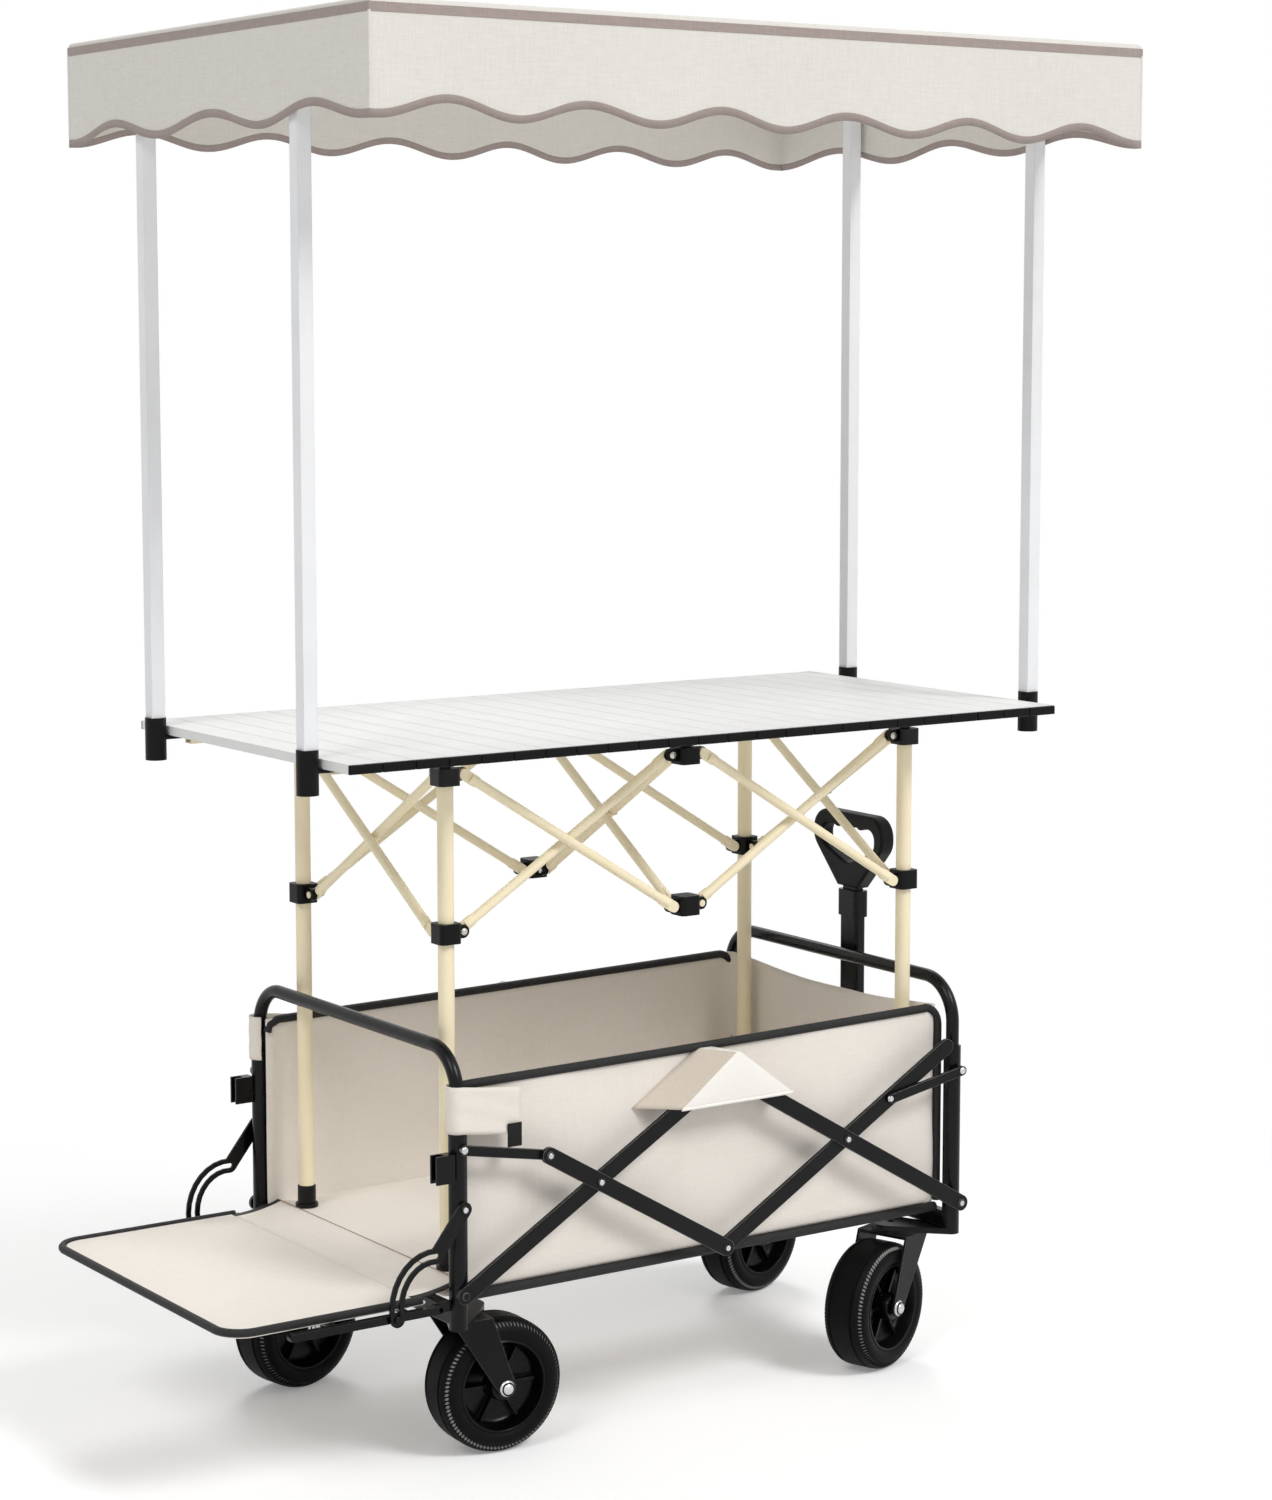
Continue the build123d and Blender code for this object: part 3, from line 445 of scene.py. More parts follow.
bolt_out, flange_thick = 0.0405, 0.0026
flange_radius, flange_height = 0.0112, 0.0042
bolt_radius, bolt_height = 0.0078, 0.0044
for spin in spins:
    wheel = spin.removesuffix("_spin")
    dress(fork_paint, f"{wheel}_fork")
    axle = Vector(joints[spin]["axis"])
    centre = Vector(joints[spin]["pos_m"])
    verts, faces = [], []
    for out in (-axle, axle):
        foot = centre + out * bolt_out
        add(verts, faces, dome(foot, out, flange_radius, flange_height))
        add(verts, faces, dome(foot + out * flange_thick, out, bolt_radius, bolt_height))
    bolt_heads = shape(f"{wheel}_bolt_heads", verts, faces, bright_steel)
    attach(bolt_heads, f"{wheel}_caster")


# End frames
# Two bent hoops of black painted tube pushed into the posts, with the caster plates, hinge
# plates and catches welded on. The frame shape is right as built and takes the paint.
frame_paint = skin("frame_paint", *black_paint, rough=0.24, scale=650, strength=0.06, shine=0.2)
dress(frame_paint, "left_hoop", "right_hoop", "left_posts", "right_posts", "floor_tube")


# Side bars
# Flat black bars riveted at their crossings, with links to the posts. The rivets are bright
# steel; their domed heads are turned and sit on the heads of the bars' and posts' pins.
bars = {
    "left_rising": "left_rising_bars",
    "left_falling": "left_falling_bars",
    "right_rising": "right_rising_bars",
    "right_falling": "right_falling_bars",
    "left_link": "left_links",
    "right_link": "right_links",
}
pinned = {"left_end": "left_posts", "right_end": "right_posts", "wagon_tub": "floor_tube"}
# The bar paint is pale grey along all its edges: a painted highlight.
bar_paint = skin(
    "bar_paint", *black_paint, rough=0.32, scale=650, strength=0.06, shine=0.2, edge_highlight=srgb(150, 149, 147)
)
dress(bar_paint, *bars.values())
head_wide, head_thick, head_face = 0.016, 0.002, 0.0004
rivet_radius, rivet_height = 0.0052, 0.0028


def head_places(node, reach):
    """Centres of the pin heads that stand out on the two long sides of a CAD piece."""
    points = np.array([vert.co[:] for vert in frame["nodes"][node].data.vertices])
    places = []
    for side in (-1, 1):
        tops = points[points[:, 1] * side > reach]
        while len(tops):
            near = np.hypot(*(tops - tops[0])[:, [0, 2]].T) < head_wide
            spot = (tops[near].min(0) + tops[near].max(0)) / 2
            places.append((spot, side))
            tops = tops[~near]
    return places


for body, node in (bars | pinned).items():
    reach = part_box(node)[1].y
    verts, faces = [], []
    for spot, side in head_places(node, reach - head_face):
        foot = (spot[0], side * (reach - head_thick), spot[2])
        add(verts, faces, dome(foot, (0, side, 0), rivet_radius, rivet_height))
    rivets = shape(f"{body}_rivets", verts, faces, bright_steel)
    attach(rivets, body)


# Tub
# One lofted canvas shell, open at the top and at the tailgate, that bulges between the posts
# and wrinkles a little, on a stiff floor pad. Shaped point by point, and carried by the tub.
def weave_group():
    """Plain woven cloth: crossed threads for height, and uneven yarn for tone."""
    group, entry, leave = new_group("woven_cloth", ["Thread"], ["Tone", "Height"])
    place = group.nodes.new("ShaderNodeTexCoord")
    tones = []
    along_yarn, across_yarn = 40, 420
    for run in (0, 2, 1):
        stretch = [across_yarn] * 3
        stretch[run] = along_yarn
        along = group.nodes.new("ShaderNodeMapping")
        along.inputs["Scale"].default_value = stretch
        yarn = group.nodes.new("ShaderNodeTexNoise")
        yarn.inputs["Scale"].default_value = 1
        yarn.inputs["Detail"].default_value = 2
        group.links.new(place.outputs["Object"], along.inputs["Vector"])
        group.links.new(along.outputs["Vector"], yarn.inputs["Vector"])
        tones.append(yarn.outputs["Fac"])
    threads = []
    for direction in ("X", "Y", "Z"):
        thread = group.nodes.new("ShaderNodeTexWave")
        thread.bands_direction = direction
        group.links.new(place.outputs["Object"], thread.inputs["Vector"])
        group.links.new(entry.outputs["Thread"], thread.inputs["Scale"])
        threads.append(thread.outputs["Fac"])
    for name, parts in (("Tone", tones), ("Height", threads)):
        total = worked_out(group, "ADD", parts[0], parts[1])
        total = worked_out(group, "ADD", total, parts[2])
        group.links.new(worked_out(group, "DIVIDE", total, len(parts)), leave.inputs[name])
    return group


weave = weave_group()
thread_depth = 0.0005


def cloth(name, dark, light, thread, strength, rough=0.85, sheen=0.1):
    """A woven fabric with uneven yarn."""
    material, tree, shader = blank(name)
    shader.inputs["Roughness"].default_value = rough
    shader.inputs["Sheen Weight"].default_value = sheen
    woven = placed(tree, weave, Thread=thread)
    tone = spread(tree, woven.outputs["Tone"], 0.0, 1.0)
    tree.links.new(two_tone(tree, tone, dark, light), shader.inputs["Base Color"])
    raise_surface(tree, shader, woven.outputs["Height"], strength, thread_depth)
    return material


def thicken(made, thick):
    """Give a sheet its thickness, half on each side of its faces."""
    solid = made.modifiers.new("thickness", "SOLIDIFY")
    solid.thickness = thick
    solid.offset = 0
    bpy.context.view_layer.objects.active = made
    bpy.ops.object.modifier_apply(modifier=solid.name)


def grid_faces(rows, columns):
    """Faces of a grid of points laid out row by row."""
    return [
        (row * columns + column, row * columns + column + 1,
         (row + 1) * columns + column + 1, (row + 1) * columns + column)
        for row in range(rows - 1)
        for column in range(columns - 1)
    ]


def ripple(point, size, depth):
    """A soft irregular height, the same each time, for wrinkles of a given size."""
    return depth * noise.noise(Vector(point) / size)


canvas = cloth("canvas", srgb(233, 225, 215), srgb(241, 235, 227), thread=420, strength=0.22)
tub_low, tub_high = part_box("tub_floor")
wall_low, wall_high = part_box("tub_side_walls")
middle = (tub_low.x + tub_high.x) / 2


def folds_with_wagon(made):
    """The piece rides on the tub's body, with a mesh of its own."""
    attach(made, "wagon_tub")
    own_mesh(made)


cloth_below = 0.012
tub_left, tub_right = wall_low.x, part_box("tub_end_wall")[1].x
tub_side = wall_high.y - 0.0013
tub_floor_z, tub_rim = wall_low.z - cloth_below, wall_high.z
tub_length, tub_depth = tub_right - tub_left, tub_rim - tub_floor_z
tub_cell, tub_thick = 0.0125, 0.0022
corner_round = 0.022
wall_bulge, bulge_end = 0.0045, 1.1
wall_ripple, end_ripple = (0.09, 0.0022), (0.08, 0.0035)
side_sag, end_sag = 0.001, 0.014
rim_fall = 0.011


def tub_shell():
    """The walls and bottom of the tub as one sheet, with rounded corners and a soft bulge."""
    along = np.linspace(tub_left, tub_right, int(tub_length / tub_cell) + 1)
    across = np.linspace(-tub_side, tub_side, int(2 * tub_side / tub_cell) + 1)
    up = np.linspace(tub_floor_z, tub_rim, int(tub_depth / tub_cell) + 1)
    points = {}
    faces = []

    def corner(*spot):
        key = tuple(round(part, 5) for part in spot)
        return points.setdefault(key, len(points))

    for x0, x1 in zip(along, along[1:]):
        for y0, y1 in zip(across, across[1:]):
            faces.append([corner(x, y, up[0]) for x, y in ((x0, y0), (x1, y0), (x1, y1), (x0, y1))])
        for z0, z1 in zip(up, up[1:]):
            for y in (across[0], across[-1]):
                faces.append([corner(x, y, z) for x, z in ((x0, z0), (x1, z0), (x1, z1), (x0, z1))])
    for y0, y1 in zip(across, across[1:]):
        for z0, z1 in zip(up, up[1:]):
            faces.append([corner(along[-1], y, z) for y, z in ((y0, z0), (y1, z0), (y1, z1), (y0, z1))])

    verts = []
    for x, y, z in points:
        core = Vector((
            min(x, tub_right - corner_round),
            max(-tub_side + corner_round, min(tub_side - corner_round, y)),
            max(z, tub_floor_z + corner_round),
        ))
        out = (Vector((x, y, z)) - core).normalized()
        spot = core + out * corner_round
        along_share = (x - tub_left) / tub_length
        up_share = (z - tub_floor_z) / tub_depth
        bulge = wall_bulge * sin(pi * along_share) * max(sin(pi * min(up_share * bulge_end, 1)), 0)
        wall = abs(out.y)
        spot += out * wall * (bulge + ripple((x, z, y), *wall_ripple) * up_share)
        spot += out * abs(out.x) * ripple((y, z, x), *end_ripple)
        sag = side_sag * sin(pi * along_share) if wall > 0.5 else end_sag * (1 - (y / tub_side) ** 2)
        spot.z -= (sag + rim_fall * (1 - along_share)) * up_share ** 2
        verts.append(spot)
    return verts, faces


tub_cloth = shape("tub_cloth", *tub_shell(), canvas)
thicken(tub_cloth, tub_thick)
folds_with_wagon(tub_cloth)
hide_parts("tub_side_walls", "tub_end_wall", "tub_floor")


def pad(low, high, edge, rows=24, columns=40):
    """A flat pad with rounded edges, as an upper and a lower sheet that meet all round."""
    verts, faces = [], []
    for face_side in (-1, 1):
        base = len(verts)
        for row in range(rows):
            for column in range(columns):
                x = low[0] + (high[0] - low[0]) * (1 - cos(pi * column / (columns - 1))) / 2
                y = low[1] + (high[1] - low[1]) * (1 - cos(pi * row / (rows - 1))) / 2
                rim = min(x - low[0], high[0] - x, y - low[1], high[1] - y)
                ease = min(rim / edge, 1)
                ease = (1 - (1 - ease) ** 2) ** 0.5
                half = (high[2] - low[2]) / 2 * ease
                verts.append((x, y, (high[2] + low[2]) / 2 + face_side * half))
        faces += [tuple(base + index for index in face) for face in grid_faces(rows, columns)]
    return verts, faces


def weld(made, reach=0.00005):
    """Join points that lie together."""
    work = bmesh.new()
    work.from_mesh(made.data)
    bmesh.ops.remove_doubles(work, verts=work.verts, dist=reach)
    bmesh.ops.recalc_face_normals(work, faces=work.faces)
    work.to_mesh(made.data)
    work.free()
    made.data.polygons.foreach_set("use_smooth", [True] * len(made.data.polygons))


pad_edge, pad_in, pad_end, pad_up = 0.006, 0.002, 0.004, 0.0014
pad_low = (tub_low.x, tub_low.y + pad_in, tub_floor_z + pad_up)
pad_high = (tub_high.x - pad_end, tub_high.y - pad_in, tub_high.z)
floor_pad = shape("floor_pad", *pad(pad_low, pad_high, pad_edge), canvas)
weld(floor_pad)
folds_with_wagon(floor_pad)


# Piping and straps of the tub
# Black corded piping along the rims, the handle-end corners and the bottom of the long walls,
# swept along the edges. Canvas straps wrap the tailgate posts, one with a black hook tab.
def sweep(points, radius, sides=10):
    """Points and faces of a round cord along a line of points, with closed ends."""
    points = [Vector(point) for point in points]
    verts = []
    across = None
    for index, point in enumerate(points):
        ahead = points[min(index + 1, len(points) - 1)]
        behind = points[max(index - 1, 0)]
        run = (ahead - behind).normalized()
        if across is None:
            across = run.orthogonal().normalized()
        across = (across - run * across.dot(run)).normalized()
        other = run.cross(across)
        for step in range(sides):
            angle = 2 * pi * step / sides
            verts.append(point + (across * cos(angle) + other * sin(angle)) * radius)
    faces = ring_faces(len(points), sides)
    faces.append(tuple(range(sides)))
    faces.append(tuple(reversed(range(len(verts) - sides, len(verts)))))
    return verts, faces


def cord_shape(name, line, radius, material):
    """A cord along a line as an object, smooth except at its ends."""
    return shape(name, *sweep(line, radius), material, sharp=80)


piping_black = cloth(
    "piping_black", srgb(7, 7, 7), srgb(15, 15, 15), thread=900, strength=0.4, rough=0.7, sheen=0.0
)
long_sides = {"front": -1, "back": 1}
piping_radius, base_radius = 0.0058, 0.0068
rim_steps, bend_steps, upright_steps = 60, 9, 20
tuck_x, tuck_z, rim_start = 0.0025, 0.018, 0.006
droop, droop_run = 0.012, 0.022
rim_sunk, rim_bulge = 0.002, 0.2 * wall_bulge
bend_start, bend_radius = 0.03, 0.026
upright_x, upright_in = tub_right - 0.004, 0.001
upright_top, upright_low = tub_rim - 0.04, tub_floor_z + 0.01
base_in, base_up = 0.002, 0.0005
base_start, base_end = tub_left + 0.012, tub_right - 0.006
for name, side in long_sides.items():
    rim_line = [(tub_left + tuck_x, side * tub_side, tub_rim - rim_fall - tuck_z)]
    for x in np.linspace(tub_left + rim_start, tub_right - bend_start, rim_steps):
        share = (x - tub_left) / tub_length
        y = side * (tub_side + rim_bulge * sin(pi * share))
        fall = rim_fall * (1 - share) + droop * max(1 - (x - tub_left) / droop_run, 0) ** 2
        rim_line.append((x, y, tub_rim - rim_sunk - side_sag * sin(pi * share) - fall))
    upright_y = side * (tub_side - upright_in)
    for turn in np.linspace(0, pi / 2, bend_steps)[1:]:
        x = tub_right - bend_start + bend_radius * sin(turn)
        rim_line.append((x, upright_y, tub_rim - rim_sunk - bend_radius * (1 - cos(turn))))
    for z in np.linspace(upright_top, upright_low, upright_steps):
        rim_line.append((upright_x, upright_y, z))
    folds_with_wagon(cord_shape(f"{name}_rim_piping", rim_line, piping_radius, piping_black))
    base_line = [
        (x, side * (tub_side - base_in), tub_floor_z + base_up)
        for x in np.linspace(base_start, base_end, rim_steps)
    ]
    folds_with_wagon(cord_shape(f"{name}_base_piping", base_line, base_radius, piping_black))

hoop_radius = 0.009
post_x, post_y = joints["left_link_fold"]["pos_m"][0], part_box("left_hoop")[1].y - hoop_radius
strap_canvas = cloth("strap_canvas", srgb(230, 222, 211), srgb(238, 231, 221), thread=520, strength=0.15)
strap_low, strap_top, strap_thick = 0.443, 0.503, 0.0016
strap_reach = {"front": 0.086, "back": 0.05}
wrap_radius, wrap_turn, wrap_end = 0.0140, radians(160), radians(-90)
wrap_steps, flat_steps, strap_rows = 24, 14, 12
flat_start, strap_slope = 0.006, 0.12
wave_height, wave_rate = 0.0012, 70
pull_height, pull_up, pull_along = 0.00056, 1.3, 40
for name, side in long_sides.items():
    reach = strap_reach[name]
    path = []
    for turn in np.linspace(wrap_end - wrap_turn, wrap_end, wrap_steps):
        path.append((post_x + wrap_radius * cos(turn), wrap_radius * -sin(turn)))
    for x in np.linspace(flat_start, reach, flat_steps):
        path.append((post_x + x, wrap_radius + wave_height * sin(x * wave_rate)))
    verts = []
    for row, z in enumerate(np.linspace(strap_low, strap_top, strap_rows)):
        for x, out in path:
            pull = pull_height * sin(row * pull_up + x * pull_along)
            slope = -strap_slope * max(x - post_x, 0)
            verts.append((x, side * (post_y + out + pull), z + slope))
    strap = shape(f"{name}_post_strap", verts, grid_faces(strap_rows, len(path)), strap_canvas)
    thicken(strap, strap_thick)
    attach(strap, "left_end")

hook_tape = cloth(
    "hook_tape", srgb(6, 6, 6), srgb(16, 16, 16), thread=1400, strength=0.8, rough=0.95, sheen=0.0
)
tab_wide, tab_high, tab_thick = 0.02, 0.03, 0.0022
tab_right, tab_top = post_x + 0.085, strap_low + 0.005
tab_out = post_y + wrap_radius + 0.0016
tab_rows, tab_columns = 6, 5
verts = []
for z in np.linspace(tab_top - tab_high, tab_top, tab_rows):
    for x in np.linspace(tab_right - tab_wide, tab_right, tab_columns):
        verts.append((x, -tab_out, z))
hook_tab = shape("hook_tab", verts, grid_faces(tab_rows, tab_columns), hook_tape)
thicken(hook_tab, tab_thick)
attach(hook_tab, "left_end")


# Peak hoods
# A canvas hood is sewn to each long wall over the top joint of the side bars. Its front hangs
# clear of the bars, its sides run back to the wall, and its lower edge has a rolled hem.
def between(first, last, count):
    """Evenly spaced points from one place to another."""
    return [Vector(first).lerp(Vector(last), step / (count - 1)) for step in range(count)]


# The hood's front is a lighter canvas than the walls, as painted light, and its sides a darker taupe
# canvas, as painted shade.
hood_canvas = cloth("hood_canvas", srgb(243, 239, 232), srgb(249, 246, 241), thread=420, strength=0.15)
taupe_canvas = cloth("taupe_canvas", srgb(204, 192, 177), srgb(216, 205, 191), thread=420, strength=0.2)
hood_middle, hood_crest = middle + 0.012, middle - 0.014
hood_low, hood_ridge, hood_seam = 0.434, 0.499, tub_rim - 0.010
sewn_low, sewn_top = 0.114, 0.010
front_low, front_top = 0.090, 0.003
hood_wall = tub_side + 0.003
hood_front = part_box("left_falling_bars")[1].y + 0.004
hood_puff, hood_ripple = 0.003, (0.03, 0.0006)
hood_thick, hem_radius = 0.0014, 0.0024
side_steps, front_steps, hood_rows = 9, 17, 14
for name, side in long_sides.items():
    verts = []
    for share in np.linspace(0, 1, hood_rows):
        sewn = sewn_low + (sewn_top - sewn_low) * share
        wide = front_low + (front_top - front_low) * share
        sewn_z = hood_low + (hood_seam - hood_low) * share
        front_z = hood_low + (hood_ridge - hood_low) * share
        edge_left = (hood_middle - wide, hood_front, front_z)
        edge_right = (hood_middle + wide, hood_front, front_z)
        row = between((hood_crest - sewn, hood_wall, sewn_z), edge_left, side_steps)[:-1]
        face = between(edge_left, edge_right, front_steps)
        for step, spot in enumerate(face):
            spot.y += hood_puff * sin(pi * step / (front_steps - 1)) * sin(pi * share)
        row += face + between(edge_right, (hood_crest + sewn, hood_wall, sewn_z), side_steps)[1:]
        for spot in row:
            verts.append((spot.x, side * (spot.y + ripple(spot, *hood_ripple)), spot.z))
    columns = len(verts) // hood_rows
    faces = grid_faces(hood_rows, columns) + [tuple(range(len(verts) - columns, len(verts)))]
    hood = shape(f"{name}_peak_hood", verts, faces, hood_canvas, taupe_canvas, sharp=30)
    # Faces of the hood's sides take the darker canvas: painted shade.
    for number, face in enumerate(hood.data.polygons):
        on_front = side_steps - 1 <= number % (columns - 1) < side_steps + front_steps - 2
        face.material_index = int(number < len(faces) - 1 and not on_front)
    thicken(hood, hood_thick)
    folds_with_wagon(hood)
    hem_line = verts[side_steps - 1:side_steps - 1 + front_steps]
    folds_with_wagon(cord_shape(f"{name}_hood_hem", hem_line, hem_radius, hood_canvas))


# Tailgate
# A welded frame of square rails and rods, two slotted arms, and a canvas covered panel with a
# black bound rim. A strip of canvas with black edges bridges the hinge.
dress(frame_paint, "tailgate_frame", "tailgate_arms")
panel_low, panel_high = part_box("tailgate_panel")
panel_corner, inner_corner = 0.040, 0.008
panel_steps, panel_rim_steps = 10, 14
panel_rings = ((0.0005, 0.5), (0.0012, 0.75), (0.003, 0.93), (0.008, 1.0), (0.03, 1.0), (0.09, 1.0))


def panel_outline(inset, steps, corner=panel_corner):
    """Outline of the panel, square at the hinge and rounded at its far corners."""
    left, right = panel_low.x + inset, panel_high.x - inset
    front, back = panel_low.y + inset, panel_high.y - inset
    radius = corner - inset
    line = [(right, front)]
    for turn in np.linspace(0, pi / 2, steps):
        line.append((left + radius - radius * sin(turn), front + radius - radius * cos(turn)))
    for turn in np.linspace(0, pi / 2, steps):
        line.append((left + radius - radius * cos(turn), back - radius + radius * sin(turn)))
    line.append((right, back))
    return line


def panel_shape():
    """Rings of points from the rim of the panel inwards, on its upper and lower faces."""
    rings = []
    thick = panel_high.z - panel_low.z
    for inset, share in panel_rings:
        outline = panel_outline(inset, panel_steps, max(panel_corner, inset + inner_corner))
        rings.append([(x, y, panel_low.z + thick * share) for x, y in outline])
    count = len(rings[0])
    lower = [[(x, y, 2 * panel_low.z + thick - z) for x, y, z in ring] for ring in rings[1:]]
    stack = lower[::-1] + rings
    verts = [spot for ring in stack for spot in ring]
    faces = ring_faces(len(stack), count)
    faces.append(tuple(range(count)))
    faces.append(tuple(range(len(verts) - count, len(verts))))
    return verts, faces


panel_cover = shape("panel_cover", *panel_shape(), canvas, sharp=60)
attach(panel_cover, "tailgate")
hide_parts("tailgate_panel")
panel_rim_radius, panel_rim_in = 0.0055, 0.0045
panel_rim_z = panel_high.z - 0.0015
rim_line = [(x, y, panel_rim_z) for x, y in panel_outline(panel_rim_in, panel_rim_steps)]
panel_piping = cord_shape("panel_piping", rim_line, panel_rim_radius, piping_black)
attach(panel_piping, "tailgate")

bridge_start, bridge_end = tub_low.x + 0.004, panel_high.x - 0.012
bridge_rows, bridge_columns = 14, 40
bridge_half, bridge_thick = 0.2435, 0.0012
bridge_sunk, bridge_ripple = 0.0003, (0.05, 0.0006)
verts = []
for row in range(bridge_rows):
    share = row / (bridge_rows - 1)
    x = bridge_start + (bridge_end - bridge_start) * share
    z = panel_high.z - bridge_sunk + (tub_high.z - panel_high.z) * (1 - share) ** 2
    for y in np.linspace(-bridge_half, bridge_half, bridge_columns):
        verts.append((x, y, z + ripple((x, y, z), *bridge_ripple) * sin(pi * share)))
bridge_faces = grid_faces(bridge_rows, bridge_columns)
hinge_cloth = shape("hinge_cloth", verts, bridge_faces, canvas, piping_black, sharp=80)
for number, face in enumerate(hinge_cloth.data.polygons):
    face.material_index = int(number % (bridge_columns - 1) in (0, bridge_columns - 2))
thicken(hinge_cloth, bridge_thick)
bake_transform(hinge_cloth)
seam_thread = cloth("seam_thread", srgb(138, 118, 102), srgb(160, 140, 124), thread=900, strength=0.3)
seam_radius, seam_steps = 0.0009, 30
seam_ends = [(bridge_start, y, tub_high.z) for y in (-bridge_half, bridge_half)]
seam_line = between(*seam_ends, seam_steps)
floor_seam = cord_shape("floor_seam", seam_line, seam_radius, seam_thread)
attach(floor_seam, "left_end")


# Pull handle
# A flat black tube with a moulded collar, a stem that slides in it and a moulded grip. The
# built shapes are right and take paint and a grained plastic.
dress(frame_paint, "handle_tube", "handle_stem")
grip_plastic = skin(
    "grip_plastic", srgb(9, 9, 10), srgb(15, 15, 16), rough=0.42, scale=1100, strength=0.22, shine=0.16
)
dress(grip_plastic, "handle_grip")


# Table frame
# Khaki painted steel tubes pinned to black moulded hubs, with black rubber feet. The built
# shapes take the paint; bright rivet heads are turned and set on the ends of the pins.
khaki = (srgb(247, 234, 199), srgb(250, 238, 206))
khaki_paint = skin("khaki_paint", *khaki, rough=0.4, scale=90, strength=0.004, shine=0.25, edged=False)
leg_paint = skin("leg_paint", *khaki, rough=0.4, scale=90, strength=0.004, shine=0.25, edged=False)
hub_black = (srgb(6, 6, 7), srgb(11, 11, 12))
hub_plastic = skin("hub_plastic", *hub_black, rough=0.42, scale=1000, strength=0.18, shine=0.16)
leg_low, leg_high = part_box("front_left_leg")
foot_high, hub_deep = 0.0301, 0.0266
banded(leg_paint, leg_low.z + foot_high, leg_high.z - hub_deep, hub_black[0], inside=False)

for name in frame["nodes"]:
    if name.endswith("_leg"):
        dress(leg_paint, name)
    elif name.endswith("_hub"):
        dress(hub_plastic, name)
    elif name.endswith(("_falling_bar", "_rising_bar", "_cross_bar_front", "_cross_bar_back")):
        dress(khaki_paint, name)

body_nodes = frame["record"]["behaviour"]["bodies"]
pin_reach, pin_near = 0.025, 0.0048
pin_radius, pin_height, pin_sunk, pin_sides = 0.0047, 0.0026, 0.0012, 16


def pin_ends(joint):
    """The two ends of a table pin, found on the pieces that it joins."""
    axis = Vector(joint["axis"])
    centre = Vector(joint["pos_m"])
    reaches = []
    for body in (joint["parent"], joint["child"]):
        for node in body_nodes[body]:
            for vert in frame["nodes"][node].data.vertices:
                offset = vert.co - centre
                along = offset.dot(axis)
                if abs(along) < pin_reach and (offset - axis * along).length < pin_near:
                    reaches.append(along)
    return centre, axis, min(reaches), max(reaches)


for name, joint in joints.items():
    if joint["type"] != "hinge" or not name.endswith("_fold") or joint["child"] not in frame["nodes"]:
        continue
    centre, axis, low, high = pin_ends(joint)
    verts, faces = [], []
    for along, out in ((high - pin_sunk, axis), (low + pin_sunk, -axis)):
        add(verts, faces, dome(centre + axis * along, out, pin_radius, pin_height, pin_sides))
    pin_heads = shape(f"{joint['child']}_pin_heads", verts, faces, bright_steel)
    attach(pin_heads, joint["child"])


# Table top
# White coated aluminium slats with a black moulded cap on each end, on two khaki rails. The
# slats and rails are as built; the caps are rounded blocks pressed on the ends.
slat_white = skin(
    "slat_white", srgb(228, 228, 227), srgb(233, 233, 232), rough=0.55, scale=120, strength=0.01, shine=0.06
)
rail_khaki = skin("rail_khaki", *khaki, rough=0.4, scale=90, strength=0.004, shine=0.25)
cap_plastic = skin(
    "cap_plastic", srgb(8, 8, 9), srgb(14, 14, 15), rough=0.4, scale=1000, strength=0.15, shine=0.14
)
dress(slat_white, "table_slats")
dress(rail_khaki, "table_rails")
slats_low, slats_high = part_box("table_slats")
slats_middle = (slats_low.x + slats_high.x) / 2
slat_count, slat_pitch = 24, 0.047
cap_gap, cap_in, cap_out = 0.0004, 0.0012, 0.0032
cap_low, cap_high = slats_low.z - 0.0004, slats_high.z - 0.0006
verts, faces = [], []
for slat in range(slat_count):
    left = slats_middle + (slat - slat_count / 2) * slat_pitch + cap_gap
    right = left + slat_pitch - 2 * cap_gap
    for side in (-1, 1):
        near = side * (slats_high.y - cap_in)
        far = side * (slats_high.y + cap_out)
        add(verts, faces, brick((left, near, cap_low), (right, far, cap_high)))
slat_caps = shape("slat_caps", verts, faces, cap_plastic, sharp=20)
rounding = slat_caps.modifiers.new("rounding", "BEVEL")
rounding.width = 0.0012
rounding.segments = 2
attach(slat_caps, "table_top")


# Sockets and poles
# Black moulded sockets on arms under the slats hold four square poles of white coated tube.
# The built shapes are right and take their finishes.
pole_white = skin(
    "pole_white", srgb(234, 235, 237), srgb(240, 241, 243), rough=0.34, scale=400, strength=0.01, shine=0.3
)
dress(hub_plastic, "pole_sockets")
dress(pole_white, "poles", "canopy_frame")


# Canopy
# One continuous ivory sheet: a taut roof that falls over the edge into four valances with a
# wavy hem. The bound edges stand out a little, and the valances sway slightly as they hang.
linen = cloth("linen", srgb(217, 213, 205), srgb(232, 229, 223), thread=300, strength=0.35)
binding = cloth("binding", srgb(158, 143, 138), srgb(176, 162, 157), thread=600, strength=0.5)
cover_low, cover_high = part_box("canopy_cover")
half_long, half_wide = (cover_high.x - cover_low.x) / 2, (cover_high.y - cover_low.y) / 2
valance_drop = cover_high.z - cover_low.z
canopy_thick, canopy_inset, canopy_sunk = 0.0014, 0.001, 0.0008
roof_across, roof_deep, roof_sag = 120, 80, 0.007
fold_round, fold_leans = 0.006, (0.5, 1.0, pi / 2)
wave_depth = 0.020
waves_long, waves_wide = 6, 3
sway_depth, sway_start = 0.0035, 1.1
top_binding, hem_binding, binding_lift = 0.016, 0.0097, 0.0009
step_top, step_low = 0.0002, 0.0003
valance_rows = 12
edge_near = 1e-6


